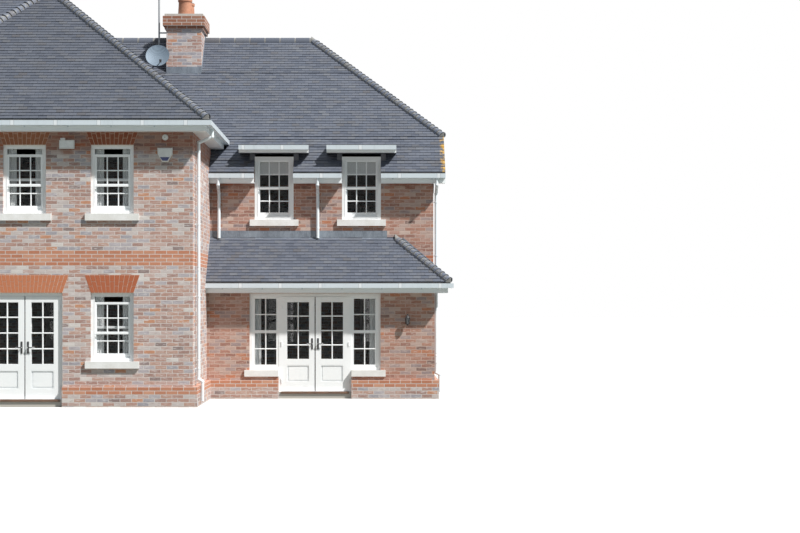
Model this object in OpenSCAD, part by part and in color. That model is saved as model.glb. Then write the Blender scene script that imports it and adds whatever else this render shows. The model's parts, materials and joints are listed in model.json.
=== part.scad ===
// Detached brick house: hipped main range, projecting hipped wing, lower side range
// with two eaves dormers, and a lean-to garden front with double doors.
// x runs to the right seen from the garden, y into the house, z up from the ground.
// Pieces are set out from the wing's right front corner at ground level.

/* [Levels] */
// Height of the ground floor above the ground outside
floor_h = 150; // [100:10:300]
// Height from the ground floor's surface to the upper floor's
storey_h = 2750; // [2600:10:2900]
// Thickness of the upper floor with its ceiling
upper_floor_t = 250; // [180:10:320]
// Height of the main and wing gutters' top edge above the upper windows' heads
main_eave_h = 450; // [380:10:880]
// Depth of the side range gutter's top edge below the upper windows' heads
side_eave_h = 315; // [220:5:420]
// Height of the lean-to gutter's top edge above the doors' heads
leanto_eave_h = 210; // [190:5:270]

/* [Plan] */
// Width of the projecting wing
wing_w = 6580; // [6300:10:7200]
// Projection of the wing in front of the main range
wing_proj = 4200; // [4000:10:4800]
// Length of the main range
main_w = 12600; // [12000:50:14000]
// Depth of the main range
main_d = 10000; // [9600:50:10600]
// Length of the side range
side_w = 4830; // [4750:10:5200]
// Depth of the side range
side_d = 7360; // [7200:10:7600]
// Projection of the lean-to in front of the side range
leanto_proj = 830; // [700:10:900]
// Thickness of the outer walls
wall_t = 300; // [260:5:350]
// Height of the plinth above the ground
plinth_h = 394; // [300:1:450]
// Projection of the plinth beyond the wall face
plinth_out = 90; // [30:1:110]

/* [Roof] */
// Pitch of every tiled slope in degrees
pitch = 40; // [38:0.5:42]
// Thickness of a roof slope with its battens and rafters
roof_t = 100; // [80:5:120]
// Distance from the wall face to the front of the fascia
fascia_out = 275; // [240:5:320]
// Overhang of the tiles beyond the fascia
tile_lip = 50; // [30:5:60]
// Thickness of the tiles at their lower edge
tile_edge = 30; // [20:1:40]
// Overhang of the side range's roof beyond its end wall
verge_out = 250; // [150:10:300]
// Horizontal run of the half-hip from its eave to the ridge
half_hip_run = 3000; // [2600:50:3400]
// Radius of the half-round ridge tiles
ridge_r = 110; // [90:5:130]
// Radius of the bonnet tiles along the hips
bonnet_r = 85; // [60:5:100]
// Depth of the mortar bed under the ridge and hip tiles
tile_bed = 25; // [15:5:35]
// Height of the lead flashings up a wall, and their width down a slope
flash_h = 150; // [100:10:180]
// Thickness of a lead flashing
flash_t = 5; // [3:1:8]

/* [Eaves] */
// Height of the fascia board
fascia_h = 200; // [150:5:220]
// Thickness of the fascia and soffit boards
board_t = 20; // [15:1:30]
// Width of the gutters
gutter_w = 115; // [100:5:130]
// Depth of the gutters
gutter_h = 95; // [80:5:110]
// Thickness of the gutter's wall
gutter_t = 6; // [4:1:8]
// Radius of the downpipes
pipe_r = 34; // [30:1:40]
// Gap between a downpipe and the wall behind it
pipe_gap = 30; // [20:1:40]
// Distance from the wing's front corner back to its downpipe
wing_pipe_y = 590; // [500:10:700]
// Distance from the wing's wall to the side range's first downpipe
pipe_from_wing = 199; // [150:1:300]

/* [Windows] */
// Width of a window frame
window_w = 840; // [800:5:900]
// Height of a window frame
window_h = 1340; // [1300:5:1360]
// Height of the ground floor windows and doors' heads above the ground floor
head_h = 2080; // [2040:5:2090]
// Height of the upper windows' sills above the upper floor
upper_sill_h = 880; // [850:5:900]
// Distance from the wing's centre line to the windows beside it
window_pitch = 1715; // [1650:5:1800]
// Depth of the reveal in front of the frames
reveal = 60; // [40:5:90]
// Depth of a window's box frame
frame_d = 110; // [90:5:130]
// Width of a box frame's face
frame_face = 62; // [50:1:75]
// Width of a sash's stiles and rails
sash_face = 40; // [35:1:50]
// Thickness of a sash
sash_t = 40; // [35:1:45]
// Drop of the wing windows' upper sashes, which stand open
sash_drop = 120; // [0:10:200]
// Thickness of the glass
glass_t = 6; // [4:1:8]
// Height of a window sill
sill_h = 137; // [100:1:150]
// Projection of a sill beyond the wall face
sill_out = 55; // [30:5:80]
// Length of a sill beyond the frame on either side
sill_horn = 107; // [60:1:120]
// Height of the flat brick arches
arch_h = 350; // [250:5:375]
// Spread of a flat arch's top beyond its foot on either side
arch_splay = 120; // [60:5:150]
// Depth of the flat arches
arch_d = 103; // [100:1:110]

/* [Dormers] */
// Height of the dormer windows' sills above the other upper sills
dormer_sill_up = 50; // [0:5:100]
// Distance from the side range's left end to its first dormer's centre
dormer_x = 1388; // [1300:1:1500]
// Distance between the two dormers' centres
dormer_pitch = 1888; // [1800:1:2000]
// Height of the dormer windows' frames
dormer_window_h = 1360; // [1300:5:1400]
// Width of the lead cheek beside a dormer's window
cheek_w = 110; // [80:5:140]
// Width of a dormer's roof
dormer_roof_w = 1500; // [1400:10:1600]
// Thickness of a dormer's roof at its front edge
dormer_roof_t = 180; // [90:5:200]
// Height of a dormer's roof above its window's head
dormer_head = 70; // [40:5:90]
// Projection of a dormer's roof in front of the wall face
dormer_out = 250; // [200:5:300]
// Height of a dormer's lead edge above its gutter and fascia
dormer_drip = 25; // [15:5:40]

/* [Doors] */
// Width of the wing's double door frame
wing_door_w = 1490; // [1450:5:1560]
// Width of one leaf of the lean-to's double door
garden_leaf_w = 700; // [680:2:720]
// Width of each side light of the lean-to's door set
side_light_w = 680; // [650:5:700]
// Distance from the wing's wall to the lean-to's door set
garden_door_x = 904; // [850:1:950]
// Height of the side lights' sill above the ground floor
side_sill_h = 455; // [430:5:480]
// Thickness of a door leaf
leaf_t = 54; // [44:1:60]
// Width of a leaf's stiles and top rail
stile_w = 105; // [90:1:115]
// Height of a leaf's bottom rail
bottom_rail_h = 190; // [150:5:220]
// Height of a leaf's middle rail above its foot
mid_rail_z = 560; // [520:5:600]
// Height of a leaf's middle rail
mid_rail_h = 110; // [90:5:130]
// Clearance round a leaf in its frame
leaf_gap = 6; // [5:0.5:8]
// Clearance between two leaves that meet
meet_gap = 9; // [8:0.5:12]
// Radius of a hinge's knuckles
knuckle_r = 8; // [6:0.5:10]
// Height of one of a hinge's three knuckles
knuckle_h = 32; // [25:1:40]
// Play between two knuckles
knuckle_play = 0.3; // [0.2:0.1:0.5]
// Height of the lever handles above the ground floor
handle_z = 1010; // [950:10:1050]
// Distance of the upper and lower hinges from a leaf's ends
hinge_in = 220; // [180:10:260]

/* [Chimney] */
// Distance from the wing's right wall line back to the stack's right face
chimney_in = 404; // [350:1:500]
// Width of the stack seen from the garden
chimney_w = 805; // [700:5:900]
// Depth of the stack
chimney_d = 1300; // [1200:10:1400]
// Distance from the side range's ridge forward to the stack's front face
chimney_y = 1079; // [979:1:1179]
// Height of the stack's top above the side range's ridge
chimney_h = 455; // [355:5:805]
// Height of one brick course with its joint
course_h = 75; // [65:1:80]
// Projection of each oversailing course
oversail = 38; // [25:1:50]
// Outer radius of a chimney pot
pot_r = 165; // [130:5:180]
// Height of a chimney pot
pot_h = 370; // [350:10:600]
// Thickness of a chimney pot's wall
pot_t = 25; // [20:1:35]
// Height of the mortar capping round the pots
cap_mortar_h = 50; // [30:5:70]
// Height of a cowl above its pot
cowl_h = 240; // [200:10:300]
// Distance from the stack's left face out to the mast
mast_out = 180; // [150:10:220]
// Distance from the stack's front face back to the mast
mast_in = 150; // [100:10:200]
// Height of the mast above the stack
mast_up = 1000; // [800:50:1200]
// Radius of the dish
dish_r = 270; // [250:10:300]
// Distance from the mast forward to the dish
dish_reach = 300; // [260:10:340]

/* [Fittings] */
// Width of the flood light
light_w = 293; // [250:1:320]
// Height of the flood light
light_h = 210; // [180:5:240]
// Distance from the wing's centre line to the flood light's centre
light_x = 842; // [742:1:942]
// Gap between the soffit and the flood light
light_drop = 120; // [80:5:160]
// Radius of the round sensor
sensor_r = 59; // [50:1:70]
// Distance from the wing's right corner to the sensor's and alarm box's centre
alarm_x = 538; // [480:1:600]
// Gap between the soffit and the sensor's centre
sensor_drop = 105; // [80:5:130]
// Width of the alarm box
alarm_w = 292; // [260:2:320]
// Height of the alarm box
alarm_h = 275; // [240:5:300]
// Gap between the soffit and the alarm box
alarm_drop = 310; // [280:5:340]
// Distance from the lean-to's right corner to the lantern
lantern_x = 575; // [500:5:650]
// Height of the lantern's foot above the ground floor
lantern_h = 1400; // [1300:10:1500]

/* [Hidden] */

// Colours
brick = [0.62, 0.42, 0.35];
orange_brick = [0.72, 0.36, 0.24];
tile = [0.30, 0.31, 0.33];
lead = [0.36, 0.38, 0.42];
painted = [0.93, 0.93, 0.92];
cast_stone = [0.86, 0.85, 0.81];
concrete = [0.66, 0.65, 0.62];
terracotta = [0.74, 0.42, 0.28];
pane = [0.55, 0.62, 0.66, 0.4];

// Main lines of the plan
main_front = wing_proj;
main_back = main_front + main_d;
side_front = wing_proj;
side_back = side_front + side_d;
leanto_front = side_front - leanto_proj;
wing_mid = -wing_w / 2;

// Heights
upper_z = floor_h + storey_h;
head_z = floor_h + head_h;
ground_sill_z = head_z - window_h;
upper_sill_z = upper_z + upper_sill_h;
upper_head_z = upper_sill_z + window_h;
main_eave_z = upper_head_z + main_eave_h;
side_eave_z = upper_head_z - side_eave_h;
leanto_eave_z = head_z + leanto_eave_h;
soffit_z = main_eave_z - fascia_h;
dwarf_h = floor_h + side_sill_h - sill_h;
rear_sill_z = side_eave_z - fascia_h - arch_h / 2 - window_h;

// Clearance between sloping faces that meet
seat_gap = 0.3;

// Roof geometry: a slope's top plane starts at the tiles' lower edge
rise = tan(pitch);
roof_v = roof_t / cos(pitch);
tile_out = fascia_out + tile_lip;
eave_span = 40000;

function plane_at(eave_h, run) = eave_h + tile_edge + run * rise;
function wall_top(eave_h) = plane_at(eave_h, tile_out) - roof_v;

main_half = main_d / 2 + tile_out;
wing_half = wing_w / 2 + tile_out;
side_half = side_d / 2 + tile_out;
side_ridge_y = side_front + side_d / 2;
wing_apex_y = wing_half - tile_out;
wing_meet_y = main_front - tile_out + wing_half;
main_ridge_y = main_front + main_d / 2;
main_ridge_left = -main_w - tile_out + main_half;
main_ridge_right = tile_out - main_half;

main_ridge_z = plane_at(main_eave_z, main_half);
wing_ridge_z = plane_at(main_eave_z, wing_half);
side_ridge_z = plane_at(side_eave_z, side_half);
hip_climb = atan(rise / sqrt(2));
hip_fall = acos(pow(cos(pitch), 2)) / 2;
main_wall_top = wall_top(main_eave_z);
side_wall_top = wall_top(side_eave_z);
leanto_wall_top = wall_top(leanto_eave_z);
leanto_ridge_z = plane_at(leanto_eave_z, leanto_proj + tile_out);

// The side range's roof meets the main roof's right slope along two valleys
valley_y = side_front - tile_out + (main_eave_z - side_eave_z) / rise;
valley_run = side_ridge_y - valley_y;
side_low_y = side_front - tile_out;
function side_slope_y(z) = side_low_y + (z - side_eave_z - tile_edge) / rise;
eave_meet_y = side_slope_y(soffit_z);
gutter_meet_y = side_slope_y(main_eave_z - gutter_h);
verge_x = side_w + verge_out;
half_hip_y = side_ridge_y - half_hip_run;
half_hip_z = plane_at(side_eave_z, half_hip_y - side_front + tile_out);
ridge_end_x = verge_x - half_hip_run;
gable_top = half_hip_z + verge_out * rise - roof_v - seat_gap;

// Dormers
dormer_w = window_w + 2 * cheek_w;
dormer_sill_z = upper_sill_z + dormer_sill_up;
dormer_roof_z = dormer_sill_z + dormer_window_h + dormer_head;
dormer_top = dormer_roof_z + dormer_roof_t;
dormer_front = side_front - dormer_out;
dormer_back_y = side_slope_y(dormer_top);
dormer_centres = [dormer_x, dormer_x + dormer_pitch];

// Doors
wing_leaf_w = (wing_door_w - 2 * frame_face - 2 * leaf_gap - meet_gap) / 2;
garden_set_w = 2 * side_light_w + 2 * garden_leaf_w + 2 * leaf_gap + meet_gap;
garden_mid = garden_door_x + garden_set_w / 2;
garden_door_w = garden_set_w - 2 * side_light_w + 2 * frame_face;
sash_in = 10;
leaf_h = head_h - frame_face - 2 * leaf_gap;
leaf_z = floor_h + leaf_gap;
pivot_y = reveal - knuckle_r - 1;
flap_t = 3;
flap_w = 30;
stop_w = 14;
hinge_heights = [leaf_z + hinge_in, leaf_z + leaf_h / 2, leaf_z + leaf_h - hinge_in];
wing_pivot_x = wing_door_w / 2 - frame_face + leaf_gap / 2;
garden_pivot_x = garden_door_w / 2 - frame_face + leaf_gap / 2;

// Chimney
chimney_x = -chimney_in - chimney_w;
chimney_front = side_ridge_y - chimney_y;
chimney_back = chimney_front + chimney_d;
chimney_top = side_ridge_z + chimney_h;
cap_courses = 4;
cap_z = chimney_top - cap_mortar_h - cap_courses * course_h;

// Outline of the main range and wing, moved out by d
function main_outline(d) = [
    [-wing_w - d, -d], [d, -d], [d, main_back + d], [-main_w - d, main_back + d],
    [-main_w - d, main_front - d], [-wing_w - d, main_front - d]
];

// Outline of all outer walls, moved out by d
function house_outline(d) = [
    [-wing_w - d, -d], [d, -d], [d, leanto_front - d], [side_w + d, leanto_front - d],
    [side_w + d, side_back + d], [d, side_back + d], [d, main_back + d],
    [-main_w - d, main_back + d], [-main_w - d, main_front - d], [-wing_w - d, main_front - d]
];

// Centre of the whole house's box
left_x = -main_w - fascia_out - gutter_w;
right_x = max(verge_x, side_w + fascia_out + gutter_w);
front_y = -fascia_out - gutter_w;
back_y = main_back + fascia_out + gutter_w;

// Moves a piece from the setting-out corner to the centre of the house
module place() translate([-(left_x + right_x) / 2, -(front_y + back_y) / 2, 0]) children();

// Turns a wall's own axes, x along its face and y into it, to its place in the plan
module on_face(x, y, turn) translate([x, y, 0]) rotate([0, 0, turn]) children();

// A flat arch of gauged brick over an opening of width w, in a wall's own axes
module arch_block(x, z, w, deep) {
    translate([x, deep, z]) rotate([90, 0, 0]) linear_extrude(deep)
        polygon([[-w / 2, 0], [w / 2, 0], [w / 2 + arch_splay, arch_h], [-w / 2 - arch_splay, arch_h]]);
}

// A sill under a frame of width w
module sill_block(x, z, w) {
    translate([x - w / 2 - sill_horn, -sill_out, z - sill_h])
        cube([w + 2 * sill_horn, sill_out + reveal + frame_d, sill_h]);
}

// What one window takes out of its wall: the opening, its arch and its sill
module window_hole(x, z, h, arched) {
    translate([x - window_w / 2, -1, z]) cube([window_w, wall_t + 2, h]);
    sill_block(x, z, window_w);
    if (arched) translate([0, -1, 0]) arch_block(x, z + h, window_w, arch_d + 1);
}

// A wall of length len and height h with its windows, each [x, sill height]
module wall(len, h, windows = [], base = 0) {
    difference() {
        translate([0, 0, base]) cube([len, wall_t, h - base]);
        for (w = windows) window_hole(w.x, w.y, window_h, true);
    }
}

// Windows of each wall, in the wall's own axes
wing_windows = [for (side = [-1, 1], z = [ground_sill_z, upper_sill_z])
    [wing_w / 2 + side * window_pitch, z]];
wing_mid_window = [wing_w / 2, upper_sill_z];
recess_w = main_w - wing_w;
recess_windows = [for (i = [-1, 1], z = [ground_sill_z, upper_sill_z])
    [recess_w / 2 + i * recess_w / 4, z]];
left_windows = [for (i = [-1, 1], z = [ground_sill_z, upper_sill_z])
    [main_d / 2 + i * main_d / 4, z]];
rear_windows = [for (i = [-3, -1, 1, 3], z = [ground_sill_z, upper_sill_z])
    [main_w / 2 + i * main_w / 8, z]];
gable_windows = [[side_d / 2, upper_sill_z], [side_d / 4, ground_sill_z], [side_d * 3 / 4, ground_sill_z]];
side_rear_windows = [for (i = [-1, 1], z = [ground_sill_z, rear_sill_z])
    [side_w / 2 + i * side_w / 4, z]];

// Every arched window's wall: [x, y, turn, windows]
window_walls = [
    [-wing_w, 0, 0, concat(wing_windows, [wing_mid_window])],
    [-main_w, main_front, 0, recess_windows],
    [-main_w, main_back, 270, left_windows],
    [0, main_back, 180, rear_windows],
    [side_w, side_front, 90, gable_windows],
    [side_w, side_back, 180, side_rear_windows]
];

// A sloping slab over a plan outline: its top starts at z_top on the line through edge
module slope(plan, edge, turn, z_top, z_low) {
    intersection() {
        translate([0, 0, z_low]) linear_extrude(eave_span / 4) polygon(plan);
        translate([edge.x, edge.y, z_top]) rotate([0, 0, turn]) rotate([0, -pitch, 0])
            translate([-eave_span, -eave_span, -roof_t]) cube([2 * eave_span, 2 * eave_span, roof_t]);
    }
}

// A slope of the main range or wing, rising in plan direction turn from an eave corner
module main_slope(plan, edge, turn) slope(plan, edge, turn, main_eave_z + tile_edge, main_eave_z);

// Floors
module floor_plan() {
    polygon(main_outline(-wall_t));
    translate([-wall_t - 1, side_front + wall_t]) square([wall_t + 1, side_d - 2 * wall_t]);
}
module ground_floor() color(concrete) place() linear_extrude(floor_h) floor_plan();
module ground_floor_side() color(concrete) place()
    translate([0, leanto_front + wall_t, 0])
        cube([side_w - wall_t, side_back - leanto_front - 2 * wall_t, floor_h]);
module upper_floor() color(concrete) place() translate([0, 0, upper_z - upper_floor_t])
    linear_extrude(upper_floor_t) difference() {
        floor_plan();
        translate([chimney_x, chimney_front]) square([chimney_w, chimney_d]);
    }
module upper_floor_side() color(concrete) place()
    translate([0, side_front + wall_t, upper_z - upper_floor_t])
        cube([side_w - wall_t, side_d - 2 * wall_t, upper_floor_t]);

// Wing walls: the front is split beside and over the double door
module wing_front() difference() {
    on_face(-wing_w, 0, 0) wall(wing_w, main_wall_top, concat(wing_windows, [wing_mid_window]));
    translate([0, -1, 0]) arch_block(wing_mid, head_z, wing_door_w, arch_d + 1);
}
module wing_front_wall_left() color(brick) place() intersection() {
    wing_front();
    translate([-wing_w, -1, 0]) cube([(wing_w - wing_door_w) / 2, wall_t + 2, main_wall_top]);
}
module wing_front_wall_right() color(brick) place() intersection() {
    wing_front();
    translate([wing_mid + wing_door_w / 2, -1, 0])
        cube([(wing_w - wing_door_w) / 2, wall_t + 2, main_wall_top]);
}
module wing_front_wall_over_door() color(brick) place() intersection() {
    wing_front();
    translate([wing_mid - wing_door_w / 2, -1, head_z]) cube([wing_door_w, wall_t + 2, main_wall_top]);
}
module wing_left_wall() color(brick) place() translate([-wing_w, wall_t, 0])
    cube([wall_t, main_front, main_wall_top]);
module wing_right_wall() color(brick) place() translate([-wall_t, wall_t, 0])
    cube([wall_t, main_front, main_wall_top]);

// Main range walls
module main_front_wall() color(brick) place() on_face(-main_w, main_front, 0)
    wall(recess_w, main_wall_top, recess_windows);
module main_left_wall() color(brick) place() on_face(-main_w, main_back, 270) difference() {
    wall(main_d, main_wall_top, left_windows);
    translate([-1, -1, -1]) cube([wall_t + 1, wall_t + 2, main_wall_top + 2]);
    translate([main_d - wall_t, -1, -1]) cube([wall_t + 1, wall_t + 2, main_wall_top + 2]);
}
module main_rear_wall() color(brick) place() on_face(0, main_back, 180)
    wall(main_w, main_wall_top, rear_windows);
module main_right_wall() color(brick) place() translate([-wall_t, side_back - wall_t, 0])
    cube([wall_t, main_back - side_back, main_wall_top]);

// Side range walls: the front one stands over the lean-to's open back
module side_front_wall() color(brick) place() difference() {
    translate([0, side_front, upper_z - upper_floor_t])
        cube([side_w - wall_t, wall_t, side_wall_top - upper_z + upper_floor_t]);
    for (x = dormer_centres) {
        translate([x - window_w / 2, side_front - 1, dormer_sill_z])
            cube([window_w, wall_t + 2, dormer_window_h]);
        on_face(0, side_front, 0) sill_block(x, dormer_sill_z, window_w);
    }
}
module side_right_wall() color(brick) place() difference() {
    on_face(side_w, side_front, 90) wall(side_d - wall_t, gable_top, gable_windows);
    gable_cut(side_front, 0);
    gable_cut(side_back, 180);
}
// What the slopes take off the gable wall's corners
module gable_cut(y, turn) translate([side_w, y, side_wall_top - seat_gap]) rotate([0, 0, turn])
    rotate([pitch, 0, 0]) translate([-2 * side_w, -side_w, 0]) cube([4 * side_w, 4 * side_w, side_w]);
module side_rear_wall() color(brick) place() on_face(side_w, side_back, 180)
    wall(side_w, side_wall_top, side_rear_windows);

// Lean-to walls, with the dwarf walls under the side lights
module leanto_wall_left() color(brick) place() difference() {
    union() {
        translate([0, leanto_front, 0]) cube([garden_door_x, wall_t, leanto_wall_top]);
        translate([garden_door_x, leanto_front, 0]) cube([side_light_w - frame_face, wall_t, dwarf_h]);
    }
    side_light_sill(-1);
}
module leanto_wall_right() color(brick) place() {
    difference() {
        translate([garden_door_x + garden_set_w, leanto_front, 0])
            cube([side_w - garden_door_x - garden_set_w, wall_t, leanto_wall_top]);
        side_light_sill(1);
    }
    translate([garden_door_x + garden_set_w - side_light_w + frame_face, leanto_front, 0])
        cube([side_light_w - frame_face, wall_t, dwarf_h]);
    translate([side_w - wall_t, leanto_front + wall_t - 1, 0])
        cube([wall_t, leanto_proj - wall_t + 1, leanto_wall_top]);
}
module leanto_lintel() color(brick) place() translate([garden_door_x, leanto_front, head_z])
    cube([garden_set_w, wall_t, leanto_wall_top - head_z]);

module plinth() color(brick) place() difference() {
    linear_extrude(plinth_h) difference() {
        polygon(house_outline(plinth_out));
        polygon(house_outline(0));
    }
    translate([wing_mid - wing_door_w / 2, -wall_t, -1]) cube([wing_door_w, 2 * wall_t, plinth_h + 2]);
    translate([garden_mid - garden_door_w / 2, leanto_front - wall_t, -1])
        cube([garden_door_w, 2 * wall_t, plinth_h + 2]);
}

// Roof slopes of the wing
module wing_roof_front() color(tile) place() main_slope(
    [[-wing_w - tile_out, -tile_out], [tile_out, -tile_out], [wing_mid, wing_apex_y]],
    [0, -tile_out], 90);
module wing_roof_left() color(tile) place() main_slope(
    [[-wing_w - tile_out, -tile_out], [wing_mid, wing_apex_y], [wing_mid, wing_meet_y],
        [-wing_w - tile_out, main_front - tile_out]],
    [-wing_w - tile_out, 0], 0);
module wing_roof_right() color(tile) place() main_slope(
    [[tile_out, -tile_out], [tile_out, valley_y],
        [tile_out - (wing_meet_y - valley_y), wing_meet_y], [wing_mid, wing_meet_y], [wing_mid, wing_apex_y]],
    [tile_out, 0], 180);

// Roof slopes of the main range
module main_roof_front() color(tile) place() main_slope(
    [[-main_w - tile_out, main_front - tile_out], [-wing_w - tile_out, main_front - tile_out],
        [wing_mid, wing_meet_y], [main_ridge_right, main_ridge_y], [main_ridge_left, main_ridge_y]],
    [0, main_front - tile_out], 90);
module main_roof_left() color(tile) place() main_slope(
    [[-main_w - tile_out, main_front - tile_out], [main_ridge_left, main_ridge_y],
        [-main_w - tile_out, main_back + tile_out]],
    [-main_w - tile_out, 0], 0);
module main_roof_rear() color(tile) place() main_slope(
    [[-main_w - tile_out, main_back + tile_out], [main_ridge_left, main_ridge_y],
        [main_ridge_right, main_ridge_y], [tile_out, main_back + tile_out]],
    [0, main_back + tile_out], 270);
module main_roof_right() color(tile) place() difference() {
    main_slope(
        [[wing_mid, wing_meet_y], [tile_out - (wing_meet_y - valley_y), wing_meet_y],
            [tile_out - valley_run, side_ridge_y], [tile_out, 2 * side_ridge_y - valley_y],
            [tile_out, main_back + tile_out], [main_ridge_right, main_ridge_y]],
        [tile_out, 0], 180);
    chimney_hole();
}

// The side range's front slope: it runs under the main eave, and the dormers and chimney are let into it
module side_slope() difference() {
    slope(
        [[0, side_low_y], [verge_x, side_low_y], [verge_x, half_hip_y], [ridge_end_x, side_ridge_y],
            [tile_out + seat_gap - valley_run, side_ridge_y], [tile_out + seat_gap, valley_y], [0, valley_y]],
        [0, side_low_y], 90, side_eave_z + tile_edge, side_eave_z);
    translate([-1, side_low_y - 1, soffit_z - seat_gap])
        cube([tile_out + seat_gap + 1, valley_y - side_low_y + 2, 2 * fascia_h + roof_v]);
}
module chimney_hole() translate([chimney_x, chimney_front, 0]) cube([chimney_w, chimney_d, chimney_top]);
module side_roof_front() color(tile) place() difference() {
    side_slope();
    chimney_hole();
    for (x = dormer_centres) {
        translate([x - window_w / 2, side_low_y - 1, 0]) cube([window_w, tile_out + 2, dormer_top]);
        translate([x - dormer_w / 2 - seat_gap, side_front, 0])
            cube([dormer_w + 2 * seat_gap, dormer_back_y + seat_gap - side_front, 2 * dormer_top]);
    }
}
module side_roof_rear() color(tile) place() difference() {
    translate([0, 2 * side_ridge_y, 0]) mirror([0, 1, 0]) side_slope();
    chimney_hole();
}
module side_roof_half_hip() color(tile) place() slope(
    [[verge_x, half_hip_y], [verge_x, 2 * side_ridge_y - half_hip_y], [ridge_end_x, side_ridge_y]],
    [verge_x, 0], 180, half_hip_z, half_hip_z - tile_edge);

// Lean-to roof, hipped at its right end
module leanto_roof_front() color(tile) place() slope(
    [[0, leanto_front - tile_out], [side_w + tile_out, leanto_front - tile_out],
        [side_w - leanto_proj, side_front], [0, side_front]],
    [0, leanto_front - tile_out], 90, leanto_eave_z + tile_edge, leanto_eave_z);
module leanto_roof_hip() color(tile) place() slope(
    [[side_w + tile_out, leanto_front - tile_out], [side_w + tile_out, side_front],
        [side_w - leanto_proj, side_front]],
    [side_w + tile_out, 0], 180, leanto_eave_z + tile_edge, leanto_eave_z);

// A run of half-round tiles on its mortar bed, along x; both slopes under it fall by the angle fall
module capping(r, run, fall) rotate([90, 0, 90]) linear_extrude(run) difference() {
    translate([0, tile_bed - r * tan(fall)]) circle(r, $fn = 48);
    polygon([[0, seat_gap], [-2 * r, seat_gap - 2 * r * tan(fall)], [-2 * r, -3 * r],
        [2 * r, -3 * r], [2 * r, seat_gap - 2 * r * tan(fall)]]);
}
module ridge(x, y, z, turn, run) translate([x, y, z]) rotate([0, 0, turn])
    translate([seat_gap, 0, 0]) capping(ridge_r, run - 2 * seat_gap, pitch);
module ridge_tiles() color(tile) place() {
    ridge(main_ridge_left, main_ridge_y, main_ridge_z, 0, main_ridge_right - main_ridge_left);
    ridge(wing_mid, wing_apex_y, wing_ridge_z, 90, wing_meet_y - ridge_r - wing_apex_y);
    side_start = tile_out - valley_run + ridge_r;
    side_restart = chimney_x + chimney_w + flash_t;
    ridge(side_start, side_ridge_y, side_ridge_z, 0, chimney_x - flash_t - side_start);
    ridge(side_restart, side_ridge_y, side_ridge_z, 0, ridge_end_x - side_restart);
}

// Hip tiles from a corner of the eaves, at height z, up to the hip's top; lip runs them past the corner
module hip(corner, top, z, lip) {
    run = top - corner;
    way = [sign(run.x), sign(run.y)];
    start = corner - lip * way;
    end = top - seat_gap * way;
    intersection() {
        translate([corner.x, corner.y, z]) rotate([0, -hip_climb, atan2(run.y, run.x)])
            translate([-bonnet_r, 0, 0])
                capping(bonnet_r, norm(run) / cos(hip_climb) + 2 * bonnet_r, hip_fall);
        translate([min(start.x, end.x), min(start.y, end.y), 0])
            cube([abs(end.x - start.x), abs(end.y - start.y), 2 * main_ridge_z]);
    }
}
bonnet_lip = 15;
module hip_tiles() color(tile) place() {
    eave = main_eave_z + tile_edge;
    for (side = [-1, 1])
        hip([wing_mid + side * wing_half, -tile_out], [wing_mid, wing_apex_y], eave, bonnet_lip);
    for (y = [main_front - tile_out, main_back + tile_out])
        hip([-main_w - tile_out, y], [main_ridge_left, main_ridge_y], eave, bonnet_lip);
    hip([tile_out, main_back + tile_out], [main_ridge_right, main_ridge_y], eave, bonnet_lip);
    hip([wing_mid, wing_meet_y], [main_ridge_right, main_ridge_y], wing_ridge_z, -seat_gap);
    for (y = [half_hip_y, 2 * side_ridge_y - half_hip_y])
        hip([verge_x, y], [ridge_end_x, side_ridge_y], half_hip_z, bonnet_lip);
    hip([side_w + tile_out, leanto_front - tile_out], [side_w - leanto_proj, side_front],
        leanto_eave_z + tile_edge, bonnet_lip);
}

// Extrudes an outline drawn in y and z by width w about x
module across(x, w, outline) translate([x - w / 2, 0, 0])
    rotate([90, 0, 90]) linear_extrude(w) polygon(outline);

// Lead dressed up a face at y and down the slope in front of it, which meets the face at z
module apron(x, w, y, z) {
    foot = z + seat_gap;
    lead_v = flash_t / cos(pitch);
    across(x, w, [[y, foot], [y, z + flash_h], [y - flash_t, z + flash_h], [y - flash_t, foot + lead_v],
        [y - flash_h, foot + lead_v - flash_h * rise], [y - flash_h, foot - flash_h * rise]]);
}
function side_roof_z(y) = side_ridge_z - abs(y - side_ridge_y) * rise;
module stack_side_flashing(x) translate([x, 0, 0]) rotate([90, 0, 90])
    linear_extrude(flash_t) intersection() {
        polygon([for (p = [[-1, 0], [0, 0], [1, 0], [1, 1], [0, 1], [-1, 1]])
            [side_ridge_y + p.x * side_half,
                side_ridge_z - abs(p.x) * side_half * rise + (p.y == 1 ? flash_h : seat_gap)]]);
        translate([chimney_front + seat_gap, 0]) square([chimney_d - 2 * seat_gap, cap_z - seat_gap]);
    }
module lead_flashings() color(lead) place() {
    leanto_run = side_w - leanto_proj - 2 * bonnet_r;
    apron(leanto_run / 2, leanto_run, side_front, leanto_ridge_z);
    translate([0, side_front, 0]) rotate([90, 0, 0]) linear_extrude(flash_t)
        polygon([for (p = [[2 * bonnet_r, seat_gap], [leanto_proj, seat_gap],
            [leanto_proj, flash_h], [2 * bonnet_r, flash_h]])
            [side_w - leanto_proj + p.x, leanto_ridge_z - p.x * rise + p.y]]);
    stack_mid = chimney_x + chimney_w / 2;
    apron(stack_mid, chimney_w, chimney_front, side_roof_z(chimney_front));
    translate([0, 2 * chimney_back + seat_gap, 0]) mirror([0, 1, 0])
        apron(stack_mid, chimney_w, chimney_back, side_roof_z(chimney_back));
    for (x = [chimney_x - flash_t, chimney_x + chimney_w]) stack_side_flashing(x);
}

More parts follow.
